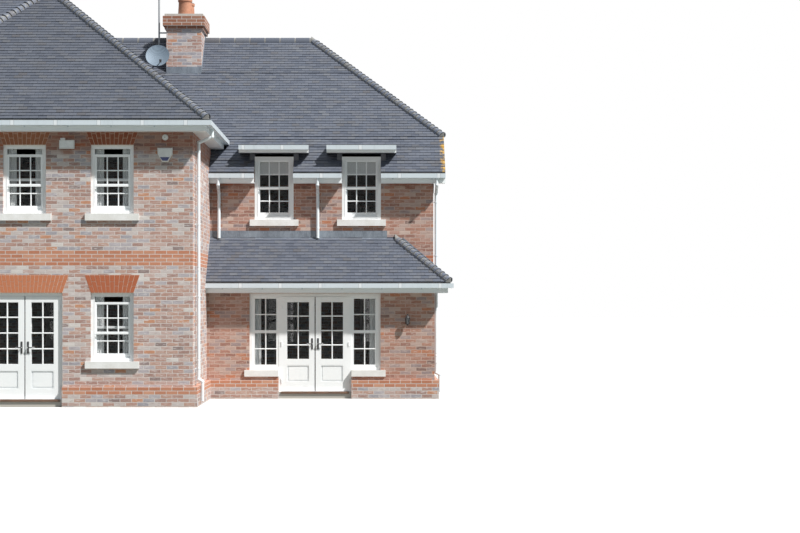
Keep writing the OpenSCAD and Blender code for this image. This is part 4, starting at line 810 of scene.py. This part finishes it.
ridges = [
    ((ridgeLeft, ridgeY, mainTop), (ridgeRight, ridgeY, mainTop)),
    ((wingMid, wingRoof[1].y, wingTop), (wingMid, wingMeetY - capping["clear"], wingTop)),
    ((tileOut - valleyRun + capping["clear"], sideRidgeY, sideTop),
     (stack["left"] - capping["stackGap"], sideRidgeY, sideTop)),
    ((stack["right"] + capping["stackGap"], sideRidgeY, sideTop), (vergeEnd - hipRun, sideRidgeY, sideTop)),
]
ridgePlaces = []
for start, end in ridges:
    start, end = Vector(start), Vector(end)
    count = max(1, round((end - start).length / capping["step"]))
    turn = math.atan2(end.y - start.y, end.x - start.x)
    ridgePlaces += [(start + (end - start) * (i / count), (0, 0, turn)) for i in range(count)]
ridgeCentre = capping["bed"] - capping["cadRidge"] * rise
ridgeTile = archTile(capping["ridge"], capping["ridge"], capping["step"] - capping["gap"], ridgeCentre,
                     ridgeCentre, capping["ridgeSpread"])
setOut("ridgeTiles", ridgeTile, ridgePlaces, "roofTile", (0.006, 0.006, 0.004), 3)

hips = [
    ((wingRoof[0].x, -tileOut, mainEave), (wingMid, wingRoof[1].y, wingTop)),
    ((wingRoof[1].x, -tileOut, mainEave), (wingMid, wingRoof[1].y, wingTop)),
    ((mainW, mainY, mainEave), (ridgeLeft, ridgeY, mainTop)),
    ((mainW, mainBack, mainEave), (ridgeLeft, ridgeY, mainTop)),
    ((tileOut, mainBack, mainEave), (ridgeRight, ridgeY, mainTop)),
    ((wingMid, wingMeetY, wingTop), (ridgeRight, ridgeY, mainTop)),
    ((vergeEnd, hipY, hipEave), (vergeEnd - hipRun, sideRidgeY, sideTop)),
    ((vergeEnd, hipBackY, hipEave), (vergeEnd - hipRun, sideRidgeY, sideTop)),
    ((leanHip[1].x, leanRoof[0].y, leanEave), (leanHip[0].x, leanRoof[1].y, leanTop)),
]
hipPlaces = []
for start, end in hips:
    start, end = Vector(start), Vector(end)
    way = end - start
    gauge = tiles["gauge"] * math.cos(pitch) * way.length / abs(way.x)
    climb, turn = math.atan2(way.z, Vector((way.x, way.y)).length), math.atan2(way.y, way.x)
    hipPlaces += [(start + way.normalized() * (capping["inset"] + i * gauge), (0, -climb, turn))
                  for i in range(int((way.length - capping["headClear"]) / gauge))]
hipFall = math.acos(math.cos(pitch) ** 2) / 2
hipCentre = capping["bed"] - capping["cadBonnet"] * math.tan(hipFall)
bonnet = archTile(capping["bonnet"], capping["bonnetHead"], capping["bonnetLong"],
                  hipCentre + capping["bonnetLift"], hipCentre, capping["bonnetSpread"], 8)
setOut("bonnetTiles", bonnet, hipPlaces, "bonnetTile", (0.02, 0.016, 0.02), 5)
print("ridge tiles:", len(ridgePlaces), "bonnets:", len(hipPlaces))


# windows are found from their sheets of glass, and dressed in their own axes: x across, -y outwards, z up
def islands(node):
    mesh = nodes[node].data
    spot = [tuple(round(c, 4) for c in v.co) for v in mesh.vertices]
    owner = {s: s for s in spot}

    def root(s):
        while owner[s] != s:
            s = owner[s]
        return s

    for face in mesh.polygons:
        first = root(spot[face.vertices[0]])
        for i in face.vertices[1:]:
            owner[root(spot[i])] = first
    groups = {}
    for s in owner:
        groups.setdefault(root(s), []).append(Vector(s) - corner)
    return [tuple(Vector([pick(p[i] for p in g) for i in range(3)]) for pick in (min, max))
            for g in groups.values()]


turns = {"front": 0.0, "right": math.pi / 2, "left": -math.pi / 2, "rear": math.pi}
# what tells the windows apart: their height, and how far back they stand
telling = {"sideLight": 1.4, "dormer": 1.23, "wing": 1.0, "front": 1.5}


def turnOf(middle, size):
    if size.y < size.x:
        return turns["front" if middle.y < mainY + telling["front"] else "rear"]
    return turns["right" if middle.x > 0 else "left"]


windows = []
for low, high in islands("window_glass"):
    middle, size = (low + high) / 2, high - low
    if size.z > telling["sideLight"]:
        kind = "sideLight"
    elif middle.y < telling["wing"]:
        kind = "wing"
    else:
        kind = "dormer" if size.z > telling["dormer"] else "plain"
    windows.append({"kind": kind, "foot": Vector((middle.x, middle.y, low.z)), "wide": max(size.x, size.y),
                    "turn": (0.0, 0.0, turnOf(middle, size)), "tall": size.z})
byKind = {k: [w for w in windows if w["kind"] == k] for k in ("wing", "plain", "dormer", "sideLight")}
print("windows:", {k: len(v) for k, v in byKind.items()})

sash = {"face": 0.040, "bar": 0.024, "deep": 0.030, "ease": 0.007, "track": 0.023, "lap": 0.001,
        "drop": {"wing": 0.120, "plain": 0.0, "dormer": 0.0}, "bottomRail": 0.042, "railHalf": 0.018,
        "horn": 0.045, "hornIn": 0.004, "hornHalf": 0.014, "hornUp": 0.010, "glass": 0.004, "bead": 0.012,
        "staff": 0.014, "staffFront": -0.059, "staffBack": -0.044, "single": -0.030, "singleDeep": 0.034}


def glazingGrid(work, left, right, foot, top, columns, rows, y, bar, deep):
    for i in range(1, columns):
        x = left + (right - left) * i / columns
        work.bar((x - bar / 2, y - deep / 2, foot), (x + bar / 2, y + deep / 2, top), sash["ease"])
    for i in range(1, rows):
        z = foot + (top - foot) * i / rows
        for k in range(columns):
            x0 = left + (right - left) * k / columns + bar / 2 * (k > 0)
            x1 = left + (right - left) * (k + 1) / columns - bar / 2 * (k < columns - 1)
            work.bar((x0, y - deep / 2, z - bar / 2), (x1, y + deep / 2, z + bar / 2), sash["ease"])


# a mitred bead round a pane, of small triangular section
def bead(work, left, right, foot, top, y, size, side):
    ring = [(left, foot), (right, foot), (right, top), (left, top)]
    inner = [(left + size, foot + size), (right - size, foot + size), (right - size, top - size),
             (left + size, top - size)]
    verts = [(x, y, z) for x, z in ring] + [(x, y + side * size, z) for x, z in ring]
    verts += [(x, y, z) for x, z in inner]
    faces = []
    for i in range(4):
        j = (i + 1) % 4
        faces += [[i, j, 4 + j, 4 + i], [4 + i, 4 + j, 8 + j, 8 + i], [i, 8 + i, 8 + j, j]]
    work.add(verts, faces)


def openingEdges(wide):
    return -wide / 2 - sash["lap"] + sash["face"], wide / 2 + sash["lap"] - sash["face"]


def sashShape(kind, wide, tall):
    face, track, lap = sash["face"], sash["track"], sash["lap"]
    work = Work()
    left, right = openingEdges(wide)
    ringTall = tall / 2 + face / 2 + lap
    upperFoot = tall / 2 - face / 2 - sash["drop"][kind]
    for y, foot, deepFoot in ((-track, upperFoot, 0.0), (track, -lap, sash["bottomRail"])):
        low, high = foot + face + deepFoot, foot + ringTall - face
        glazingGrid(work, left, right, low, high, 3, 2, y, sash["bar"], sash["deep"])
        bead(work, left, right, low, high, y - sash["glass"] / 2 - sash["bead"], sash["bead"], 1)
    # the lower sash's deep bottom rail, and the horns under the upper sash's stiles
    foot = face - lap
    half = sash["railHalf"]
    work.bar((left, track - half, foot), (right, track + half, foot + sash["bottomRail"]), 0.005)
    half, inset = sash["hornHalf"], sash["hornIn"]
    for x in (left - face + inset, right + inset):
        work.bar((x, -track - half, upperFoot - sash["horn"]),
                 (x + face - 2 * inset, half - track, upperFoot + sash["hornUp"]), 0.010)
    # a staff bead closes the box frame round both sashes
    edge, staff, front, back = wide / 2, sash["staff"], sash["staffFront"], sash["staffBack"]
    for x in (-edge, edge - staff):
        work.bar((x, front, 0.0), (x + staff, back, tall), 0.004)
    work.bar((-edge + staff, front, tall - staff), (edge - staff, back, tall), 0.004)
    return work.mesh(kind + "Sash")


pane = {"in": 0.03, "half": 0.002, "foot": 0.02}


def paneShape(kind, wide, tall):
    work = Work()
    side, half, track = wide / 2 - pane["in"], pane["half"], sash["track"]
    upperFoot = tall / 2 - sash["drop"].get(kind, 0.0)
    sheets = [(-track, upperFoot, upperFoot + tall / 2 - pane["foot"]), (track, pane["foot"], tall / 2)]
    if kind == "sideLight":
        sheets = [(sash["single"], pane["in"], tall - pane["in"])]
    for y, foot, top in sheets:
        work.bar((-side, y - half, foot), (side, y + half, top))
    return work.mesh(kind + "Panes")


def sideLightShape(wide, tall):
    work = Work()
    left, right = openingEdges(wide)
    face, middle = sash["face"], tall / 2
    for low, high in ((face, middle - face / 2), (middle + face / 2, tall - face)):
        glazingGrid(work, left, right, low, high, 2, 2, sash["single"], sash["bar"], sash["singleDeep"])
        bead(work, left, right, low, high, sash["staffBack"], sash["bead"], 1)
    return work.mesh("sideLightBars")


def placesOf(group):
    return [(w["foot"], w["turn"]) for w in group]


for kind, group in byKind.items():
    wide, tall = group[0]["wide"], group[0]["tall"]
    shape = sideLightShape(wide, tall) if kind == "sideLight" else sashShape(kind, wide, tall)
    setOut(kind + "Bars", shape, placesOf(group), "paint")
    # the plain windows get the nearly opaque dark glass, painted shade of the rooms behind
    panes = setOut(kind + "Panes", paneShape(kind, wide, tall), placesOf(group),
                   "paintedShadeGlass" if kind == "plain" else "glass")
    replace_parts(panes, "window_glass")

# curtains drawn back inside the wing's windows and at the outer side of each side light
drapes = {"wide": 0.17, "pleats": 5, "steps": 6, "deep": 0.016, "back": 0.092, "thick": 0.002, "over": 0.03,
          "gap": 0.004, "hem": 0.005, "blind": 0.27, "blindBack": 0.056, "blindIn": 0.01}
rail = {"half": 0.008, "tall": 0.014, "bracket": 0.012, "front": 0.045, "low": 0.002, "behind": 0.006}


# a sheet of cloth in a window's own axes: spots is its line seen from above
def hangSheet(name, window, spots, low, high):
    back = [(x, y + drapes["thick"]) for x, y in reversed(spots)]
    work = Work()
    work.loft([[(x, y, z) for x, y in spots + back] for z in (low, high)])
    matrix = Matrix.Translation(corner + window["foot"]) @ Matrix.Rotation(window["turn"][2], 4, "Z")
    piece = work.piece(name, "cloth", "white_paint", matrix)


def hangRails(name, group, back):
    wide, foot, width = group[0]["wide"] / 2, group[0]["tall"] + drapes["over"], rail["bracket"]
    work = Work()
    work.bar((-wide, back - rail["half"], foot), (wide, back + rail["half"], foot + rail["tall"]), 0.003)
    for x in (-wide, wide - width):
        work.bar((x, rail["front"], foot + rail["low"]), (x + width, back - rail["behind"], foot + width))
    setOut(name, work.mesh("rail"), placesOf(group), "paint")


for kind, title in (("wing", "curtain"), ("sideLight", "sideCurtain")):
    group = byKind[kind]
    hangRails(title + "Rails", group, drapes["back"])
    across = sum(w["foot"].x for w in group) / len(group)
    for number, window in enumerate(sorted(group, key=lambda w: (w["foot"].x, w["foot"].z))):
        for side in (-1, 1):
            if kind == "sideLight" and side * (window["foot"].x - across) < 0:
                continue
            outer = side * (window["wide"] / 2 - drapes["gap"])
            count = drapes["pleats"] * drapes["steps"]
            spots = [(outer - side * drapes["wide"] * i / count,
                      drapes["back"] + drapes["deep"] * math.sin(2 * math.pi * i / drapes["steps"]))
                     for i in range(count + 1)]
            name = "%s%d%s" % (title, number + 1, "Left" if side < 0 else "Right")
            hangSheet(name, window, spots, drapes["hem"], window["tall"] + drapes["over"])

# a blind drawn a little way down in each dormer
hangRails("blindRails", byKind["dormer"], drapes["blindBack"])
for number, window in enumerate(sorted(byKind["dormer"], key=lambda w: w["foot"].x)):
    reach = window["wide"] / 2 - drapes["blindIn"]
    hangSheet("blind%d" % (number + 1), window, [(-reach, drapes["blindBack"]), (reach, drapes["blindBack"])],
              window["tall"] * (1 - drapes["blind"]), window["tall"] + drapes["over"])
print("curtains and blinds hung")

# gauged arches: tapered bricks that point to one centre, a whole and a half brick in every column
arch = {"tall": 0.350, "splay": 0.120, "brick": 0.074, "joint": 0.008, "proud": 0.003, "in": 0.004,
        "split": 0.62}


def archShape(wide):
    work = Work()
    gap = arch["joint"] / 2
    count = int(wide / arch["brick"]) // 2 * 2 + 1
    for k in range(count):
        split = arch["split"] if k % 2 else 1 - arch["split"]
        for low, high in ((0.0, split), (split, 1.0)):
            quad = []
            for i, t in ((k, low), (k + 1, low), (k + 1, high), (k, high)):
                quad.append(((2 * i / count - 1) * (wide / 2 + arch["splay"] * t), t * arch["tall"]))
            midX, midZ = sum(x for x, z in quad) / 4, sum(z for x, z in quad) / 4
            small = [(x - math.copysign(gap, x - midX), z - math.copysign(gap, z - midZ)) for x, z in quad]
            verts = [(x, -arch["proud"], z) for x, z in small] + [(x, arch["in"], z) for x, z in small]
            work.add(verts, [[0, 1, 2, 3]] + [[4 + i, 4 + (i + 1) % 4, (i + 1) % 4, i] for i in range(4)])
    return work.mesh("archBricks")


archPlaces = {}
for low, high in islands("flat_arches"):
    size, middle = high - low, (low + high) / 2
    turn = turnOf(middle, size)
    if size.y < size.x:
        foot = (middle.x, low.y if turn == 0.0 else high.y, low.z)
    else:
        foot = (high.x if turn > 0 else low.x, middle.y, low.z)
    wide = round(max(size.x, size.y) - 2 * arch["splay"], 3)
    archPlaces.setdefault(wide, []).append((foot, (0.0, 0.0, turn)))
for wide, places in archPlaces.items():
    setOut("archBricks%d" % round(wide * 1000), archShape(wide), places, "gauged", seed=7)
print("arches:", sum(len(p) for p in archPlaces.values()))

# door leaves: glazing bars and beads in the upper part, a bead round the raised panel below
leaves = [("wing_leaf_left", "wingLeafLeft", -1), ("wing_leaf_right", "wingLeafRight", 1),
          ("garden_leaf_left", "gardenLeafLeft", -1), ("garden_leaf_right", "gardenLeafRight", 1)]
leafLook = {"bar": 0.026, "deep": 0.024, "off": 0.003, "bead": 0.013, "beadOut": 0.026, "panelBead": 0.019,
            "panelFoot": 0.190, "panelTop": 0.560, "stile": 0.105}
for leaf, title, side in leaves:
    low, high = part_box(leaf + "_glass")
    foot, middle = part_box(leaf)[0].z, (low.y + high.y) / 2
    work = Work()
    for face in (-1, 1):
        y, out = middle + face * (leafLook["off"] + leafLook["deep"] / 2), middle + face * leafLook["beadOut"]
        glazingGrid(work, low.x, high.x, low.z, high.z, 2, 4, y, leafLook["bar"], leafLook["deep"])
        bead(work, low.x, high.x, low.z, high.z, out, leafLook["bead"], -face)
        bead(work, low.x, high.x, foot + leafLook["panelFoot"], foot + leafLook["panelTop"], out,
             leafLook["panelBead"], -face)
    work.piece(title + "Bars", "paint", "white_paint", None, leaf)
    nodes[leaf + "_glass"].data.materials[0] = finishes["glass"]
print("windows and doors dressed")

# dark levers and long plates over the leaves' own, one on each face of each leaf
handle = {"plate": (0.038, 0.010, 0.235), "height": 1.010, "face": 0.027, "lever": 0.115, "radius": 0.0105,
          "reach": 0.052, "turned": 0.012, "droop": 0.006, "lock": 0.075, "lockHalf": 0.010, "lockOut": 0.004}
for leaf, title, side in leaves:
    low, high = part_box(leaf + "_glass")
    x = (high.x if side < 0 else low.x) - side * leafLook["stile"] / 2
    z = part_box("ground_floor")[1].z + handle["height"]
    wide, thick, tall = handle["plate"]
    work = Work()
    for face in (-1, 1):
        y = (low.y + high.y) / 2 + face * handle["face"]
        work.bar((x - wide / 2, min(y, y + face * thick), z - tall / 2),
                 (x + wide / 2, max(y, y + face * thick), z + tall / 2), 0.004)
        out, reach = y + face * handle["reach"], side * handle["lever"]
        work.tube([(x, y, z), (x, out - face * handle["turned"], z), (x + side * 0.006, out, z),
                   (x + side * 0.02, out + face * 0.002, z), (x + reach * 0.7, out, z - 0.002),
                   (x + reach, out, z - handle["droop"])], handle["radius"], 10)
        rim, deep = handle["lockHalf"], handle["lockOut"]
        work.turned([(0.001, 0.0), (rim, 0.0), (rim, deep), (0.001, deep)],
                    (x, y + face * thick, z - handle["lock"]), 12)
    work.piece(title + "Handles", "blackMetal", "grey_metal", None, leaf)

# fittings on the walls, each in the place of the plain solid that stands for it
boxes = sorted(islands("wall_fittings"), key=lambda b: (b[0].x, b[0].z))
flood, lampParts = boxes[0], [b for b in boxes if b[0].x > 0]
shields = [b for b in boxes[1:] if b[1].x < 0]
alarm, sensor = sorted((shields[0], shields[-1]), key=lambda b: b[1].z)


def fitting(name, work, finish, slot="fitting_plastic", matrix=onWall):
    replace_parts(work.piece(name, finish, slot, matrix), "wall_fittings")


# a flood light: a box with a rim round its glass, on a bracket and a mount
lamp = {"mount": (0.020, 0.105), "body": 0.78, "rim": 0.012, "rimDeep": 0.016, "front": 0.012, "back": 0.030,
        "bracket": 0.4, "bracketIn": 0.03, "lap": 0.004, "glassIn": 0.018, "glass": (0.004, 0.010)}
low, high = flood
size, rim, lap = high - low, lamp["rim"], lamp["lap"]
split = low.z + size.z * lamp["body"]
work = Work()
work.bar((low.x, low.y + lamp["front"], low.z), (high.x, high.y - lamp["back"], split), 0.008)
for x0, x1, z0, z1 in ((low.x, high.x, low.z, low.z + rim), (low.x, high.x, split - rim, split),
                       (low.x, low.x + rim, low.z, split), (high.x - rim, high.x, low.z, split)):
    work.bar((x0, low.y, z0), (x1, low.y + lamp["rimDeep"], z1), 0.003)
work.bar((low.x + size.x * lamp["bracket"], high.y - lamp["back"] - lap, low.z + lamp["bracketIn"]),
         (high.x - size.x * lamp["bracket"], high.y, split - lamp["bracketIn"]), 0.004)
work.bar((low.x + lamp["mount"][0], low.y + lamp["back"], split - lap),
         (low.x + lamp["mount"][1], high.y, high.z), 0.006)
fitting("floodLight", work, "boxPlastic")
work = Work()
work.bar((low.x + lamp["glassIn"], low.y + lamp["glass"][0], low.z + lamp["glassIn"]),
         (high.x - lamp["glassIn"], low.y + lamp["glass"][1], split - lamp["glassIn"]))
fitting("floodGlass", work, "lampGlass")

# a round sensor: shares of its radius and depth, and an eye in its middle
dome = [(1.0, 0.0), (1.0, 0.35), (0.93, 0.55), (0.6, 0.86), (0.25, 0.97)]
low, high = sensor
centre, radius, deep = (low + high) / 2, (high.x - low.x) / 2, high.y - low.y
outwards = onWall @ Matrix.Translation((centre.x, high.y, centre.z)) @ Matrix.Rotation(math.pi / 2, 4, "X")
for name, finish, profile, end, sides in (
        ("roundSensor", "boxPlastic", dome, 0.98, 28),
        ("sensorEye", "blackMetal", [(0.16, 0.90), (0.16, 1.0)], 1.0, 16)):
    work = Work()
    work.turned([(radius * r, deep * z) for r, z in profile] + [(0.002, deep * end)], (0, 0, 0), sides)
    fitting(name, work, finish, matrix=outwards)

# an alarm box left bare, with a blue lower end
shield = {"foot": 0.4, "knee": 0.55, "blue": 0.30, "front": ((0.0, 0.022), (0.016, 0.003)),
          "blueFront": ((0.020, 0.004), (0.021, 0.001))}
low, high = alarm
centreX, half, tall = (low.x + high.x) / 2, (high.x - low.x) / 2, high.z - low.z


def shieldRing(inset, y, top=1.0):
    foot, knee = shield["foot"], shield["knee"]
    outline = [(1.0, knee), (1.0, 1.0), (-1.0, 1.0), (-1.0, knee)]
    if top < 1.0:
        wide = foot + (1 - foot) * top / knee
        outline = [(wide, top), (-wide, top)]
    return [(centreX + x * (half - inset), low.y + y, low.z + inset + z * (tall - 2 * inset))
            for x, z in [(-foot, 0.0), (foot, 0.0)] + outline]


work = Work()
work.loft([shieldRing(0.0, high.y - low.y)] + [shieldRing(*ring) for ring in shield["front"]])
fitting("alarmShield", work, "boxPlastic")
work = Work()
work.loft([shieldRing(*ring, shield["blue"]) for ring in shield["blueFront"]])
fitting("alarmFoot", work, "bluePlastic")

# a lantern on a plate and an arm: shares of its radius and height
lantern = {"cap": [(1.0, 0.68), (0.92, 0.72), (0.30, 0.88)],
           "knob": [(0.014, 0.90), (0.014, 0.97), (0.003, 0.99)], "cup": (0.72, 0.030, 0.040),
           "ribs": 6, "ribFoot": (0.70, 0.036), "ribHead": (0.88, 0.69), "rib": 0.0045,
           "plate": (0.035, 0.014, 0.0005, 0.30, 0.42), "arm": 0.007, "glass": ((0.62, 0.042), (0.78, 0.67))}
low = Vector([min(b[0][i] for b in lampParts) for i in range(3)])
high = Vector([max(b[1][i] for b in lampParts) for i in range(3)])
radius, tall = (high.x - low.x) / 2, high.z - low.z
axis = Vector(((low.x + high.x) / 2, low.y + radius, low.z))
cup, cupLow, cupHigh = lantern["cup"]
work = Work()
work.turned([(0.004, 0.0), (0.016, 0.006), (0.016, 0.018), (radius * cup, cupLow), (radius * cup, cupHigh)],
            axis, 12)
work.turned([(radius * r, tall * z) for r, z in lantern["cap"]] + [(r, tall * z) for r, z in lantern["knob"]],
            axis, 12)
for c, s in circle(lantern["ribs"]):
    foot, head = [axis + Vector((c * radius * share, s * radius * share, z)) for share, z in (
        lantern["ribFoot"], (lantern["ribHead"][0], tall * lantern["ribHead"][1]))]
    work.tube([foot, head], lantern["rib"], 6)
plateHalf, plateDeep, plateIn, plateFoot, plateTall = lantern["plate"]
plateZ = low.z + tall * plateFoot
work.bar((axis.x - plateHalf, high.y - plateDeep, plateZ),
         (axis.x + plateHalf, high.y - plateIn, plateZ + tall * plateTall), 0.004)
work.tube([(axis.x, high.y - 0.012, plateZ + 0.05), (axis.x, high.y - 0.035, plateZ + 0.02),
           (axis.x, axis.y + radius * 0.5, low.z + 0.020), (axis.x, axis.y, low.z + 0.028)],
          lantern["arm"], 8)
fitting("lanternFrame", work, "blackMetal", "grey_metal")
(glassFoot, glassLow), (glassHead, glassHigh) = lantern["glass"]
work = Work()
work.turned([(radius * glassFoot, glassLow), (radius * glassHead, tall * glassHigh)], axis, 12)
fitting("lanternGlass", work, "paintedShadeGlass", "glass")

# the dish's feed: an arm from its lower edge with a small head that looks back into it
feed = {"mast": 0.18, "edge": 0.06, "foot": (0.0, -0.03, 0.02), "head": (0.13, -0.36, 0.10), "reach": 0.75,
        "sag": 0.02, "radius": 0.009, "box": ((-0.022, -0.030, -0.022), (0.022, 0.050, 0.026)),
        "mouth": [(0.020, 0.0), (0.030, 0.010), (0.030, 0.022), (0.016, 0.030)], "mouthAt": (0, 0.03, 0.02)}
dishLow = near("aerial_and_dish")[0]
mast = Vector((stack["left"] - feed["mast"], dishLow.y + feed["edge"], dishLow.z))
foot, head = mast + Vector(feed["foot"]), mast + Vector(feed["head"])
head = foot + (head - foot) * feed["reach"]
work = Work()
work.tube([foot, (foot + head) / 2 - Vector((0, 0, feed["sag"])), head], feed["radius"], 8)
work.bar(*(head + Vector(spot) for spot in feed["box"]), 0.008)
work.turned(feed["mouth"], head + Vector(feed["mouthAt"]), 14)
work.piece("dishFeed", "blackMetal", "grey_metal", onWall)

# clips that hold the gutters, along each run of them
gutter = {"wide": 0.115, "pitch": 0.84, "half": 0.014, "thick": 0.004, "tab": 0.030, "lip": 0.006,
          "lap": 0.001, "foot": {"main": 5.475, "side": 4.710, "lean": 2.345}}
gutterRuns = [  # facing, place of the fascia, start and end of each run, and which eaves it is on
    ("front", -0.275, -6.6, 0.1, "main"), ("right", 0.275, 0.0, 4.5, "main"),
    ("front", 3.925, 0.45, 0.95, "side"), ("front", 3.925, 1.98, 2.80, "side"),
    ("front", 3.925, 3.95, 5.0, "side"), ("front", 3.095, 0.35, 5.0, "lean"),
    ("front", 3.925, -12.6, -7.2, "main"), ("left", -12.875, 4.2, 14.2, "main"),
    ("rear", 14.475, -12.6, 0.0, "main"),
]
clipPlaces = []
for facing, plane, start, end, level in gutterRuns:
    for i in range(int((end - start) / gutter["pitch"]) + 1):
        at = start + i * gutter["pitch"]
        spot = (at, plane) if facing in ("front", "rear") else (plane, at)
        clipPlaces.append(((*spot, gutter["foot"][level]), (0.0, 0.0, turns[facing])))
half, thick = gutter["half"], gutter["thick"]
work = Work()
work.bar((-half, gutter["lap"] - gutter["wide"], -thick), (half, 0, 0))
work.bar((-half, -gutter["lip"], -gutter["tab"]), (half, 0, -thick))
setOut("gutterClips", work.mesh("gutterClip"), clipPlaces, "plastic")

# lead rolls over the dormers
rolls = {"spots": (-0.66, -0.33, 0.0, 0.33, 0.66), "half": 0.016, "low": (3.956, 5.430),
         "high": (4.450, 5.460)}
work = Work()
for centre in dormer["centres"]:
    for across in rolls["spots"]:
        x = centre + across
        work.bar((x - rolls["half"], *rolls["low"]), (x + rolls["half"], *rolls["high"]), 0.010)
work.piece("leadRolls", "lead", "lead", onWall)

# brown sills at the foot of the doors, just below the leaves' sweep
threshold = {"out": 0.030, "in": 0.006, "low": 0.104, "high": 0.149}
work = Work()
for leaf in ("wing_leaf", "garden_leaf"):
    left, right = near(leaf + "_left")[0], near(leaf + "_right")[1]
    work.bar((left.x, left.y - threshold["out"], threshold["low"]),
             (right.x, left.y + threshold["in"], threshold["high"]), 0.006)
work.piece("thresholds", "bronze", "timber_floor", onWall)

# a black bar low on the side range's front slope, painted as the shade in the slot of a vent tile
vent = {"at": (0.106, 5.518, 6.214), "wide": 0.150, "deep": 0.030, "high": 0.022}
x, y, z = vent["at"]
work = Work()
work.bar((x - vent["wide"] / 2, y, z), (x + vent["wide"] / 2, y + vent["deep"], z + vent["high"]), 0.003)
work.piece("roofVent", "blackMetal", "roof_tile", onWall)
print("fittings made")

# pale floor, soft sky and a sun from the right; the camera stands where the photograph was taken
setting = {"camera": (3.461, -39.06, 2.09), "sensor": 36.0, "lens": 90.0, "shift": (0.0375, 0.0419),
           "far": 400.0,
           "sun": 5.6, "sunAngle": 2.0, "sunColour": (1.0, 0.975, 0.94), "sunWay": (-0.63, 0.40, -0.88),
           "sky": 0.36, "skyColour": (0.76, 0.88, 1.0, 1.0), "white": (1.0, 1.0, 1.0, 1.0),
           "floor": (0.80, 0.80, 0.79, 1.0), "ground": (0.21, 0.22, 0.19, 1.0),
           "floorBox": ((-150, -120), (150, 180)), "floorZ": -0.002}
cameraData = bpy.data.cameras.new("gardenCamera")
cameraData.sensor_width, cameraData.lens = setting["sensor"], setting["lens"]
cameraData.shift_x, cameraData.shift_y = setting["shift"]
cameraData.clip_end = setting["far"]
camera = bpy.data.objects.new("gardenCamera", cameraData)
camera.location = corner + Vector(setting["camera"])
camera.rotation_euler = (math.radians(90), 0, 0)
scene.collection.objects.link(camera)
scene.camera = camera

sunData = bpy.data.lights.new("sun", "SUN")
sunData.energy, sunData.color = setting["sun"], setting["sunColour"]
sunData.angle = math.radians(setting["sunAngle"])
sun = bpy.data.objects.new("sun", sunData)
sun.rotation_euler = Vector(setting["sunWay"]).to_track_quat("-Z", "Y").to_euler()
scene.collection.objects.link(sun)


# a mix of what lights the house and what the camera and the panes see, closed by the output
def seenOr(tree, rays, kind, end, lighting, shown):
    ray = tree.put("ShaderNodeLightPath")
    seen = tree.least(sum(ray[name] for name in rays), 1.0)
    tree.put(end, None, {"Surface": tree.put("ShaderNodeMixShader", None, [
        seen, *(tree.put(kind, None, values) for values in (lighting, shown))])})


world = bpy.data.worlds.new("paleSky")
scene.world = world
world.use_nodes = True
world.node_tree.nodes.clear()
seenOr(Tree(world.node_tree), ("Is Camera Ray", "Is Glossy Ray", "Is Transmission Ray"),
       "ShaderNodeBackground", "ShaderNodeOutputWorld",
       {"Color": setting["skyColour"], "Strength": setting["sky"]},
       {"Color": setting["white"], "Strength": 1.0})

# the camera sees the floor pale, while the light that it throws back is that of grass and paving
(x0, y0), (x1, y1) = setting["floorBox"]
floorMesh = meshOf("floor", [(x, y, setting["floorZ"]) for x, y in ((x0, y0), (x1, y0), (x1, y1), (x0, y1))],
                   [[0, 1, 2, 3]])
floorMaterial, floorTree = newMaterial("paleFloor")
seenOr(floorTree, ("Is Camera Ray", "Is Glossy Ray"), "ShaderNodeBsdfDiffuse", "ShaderNodeOutputMaterial",
       {"Color": setting["ground"]}, {"Color": setting["floor"]})
floorMesh.materials.append(floorMaterial)
floor = bpy.data.objects.new("floor", floorMesh)
scene.collection.objects.link(floor)
print("stage set")
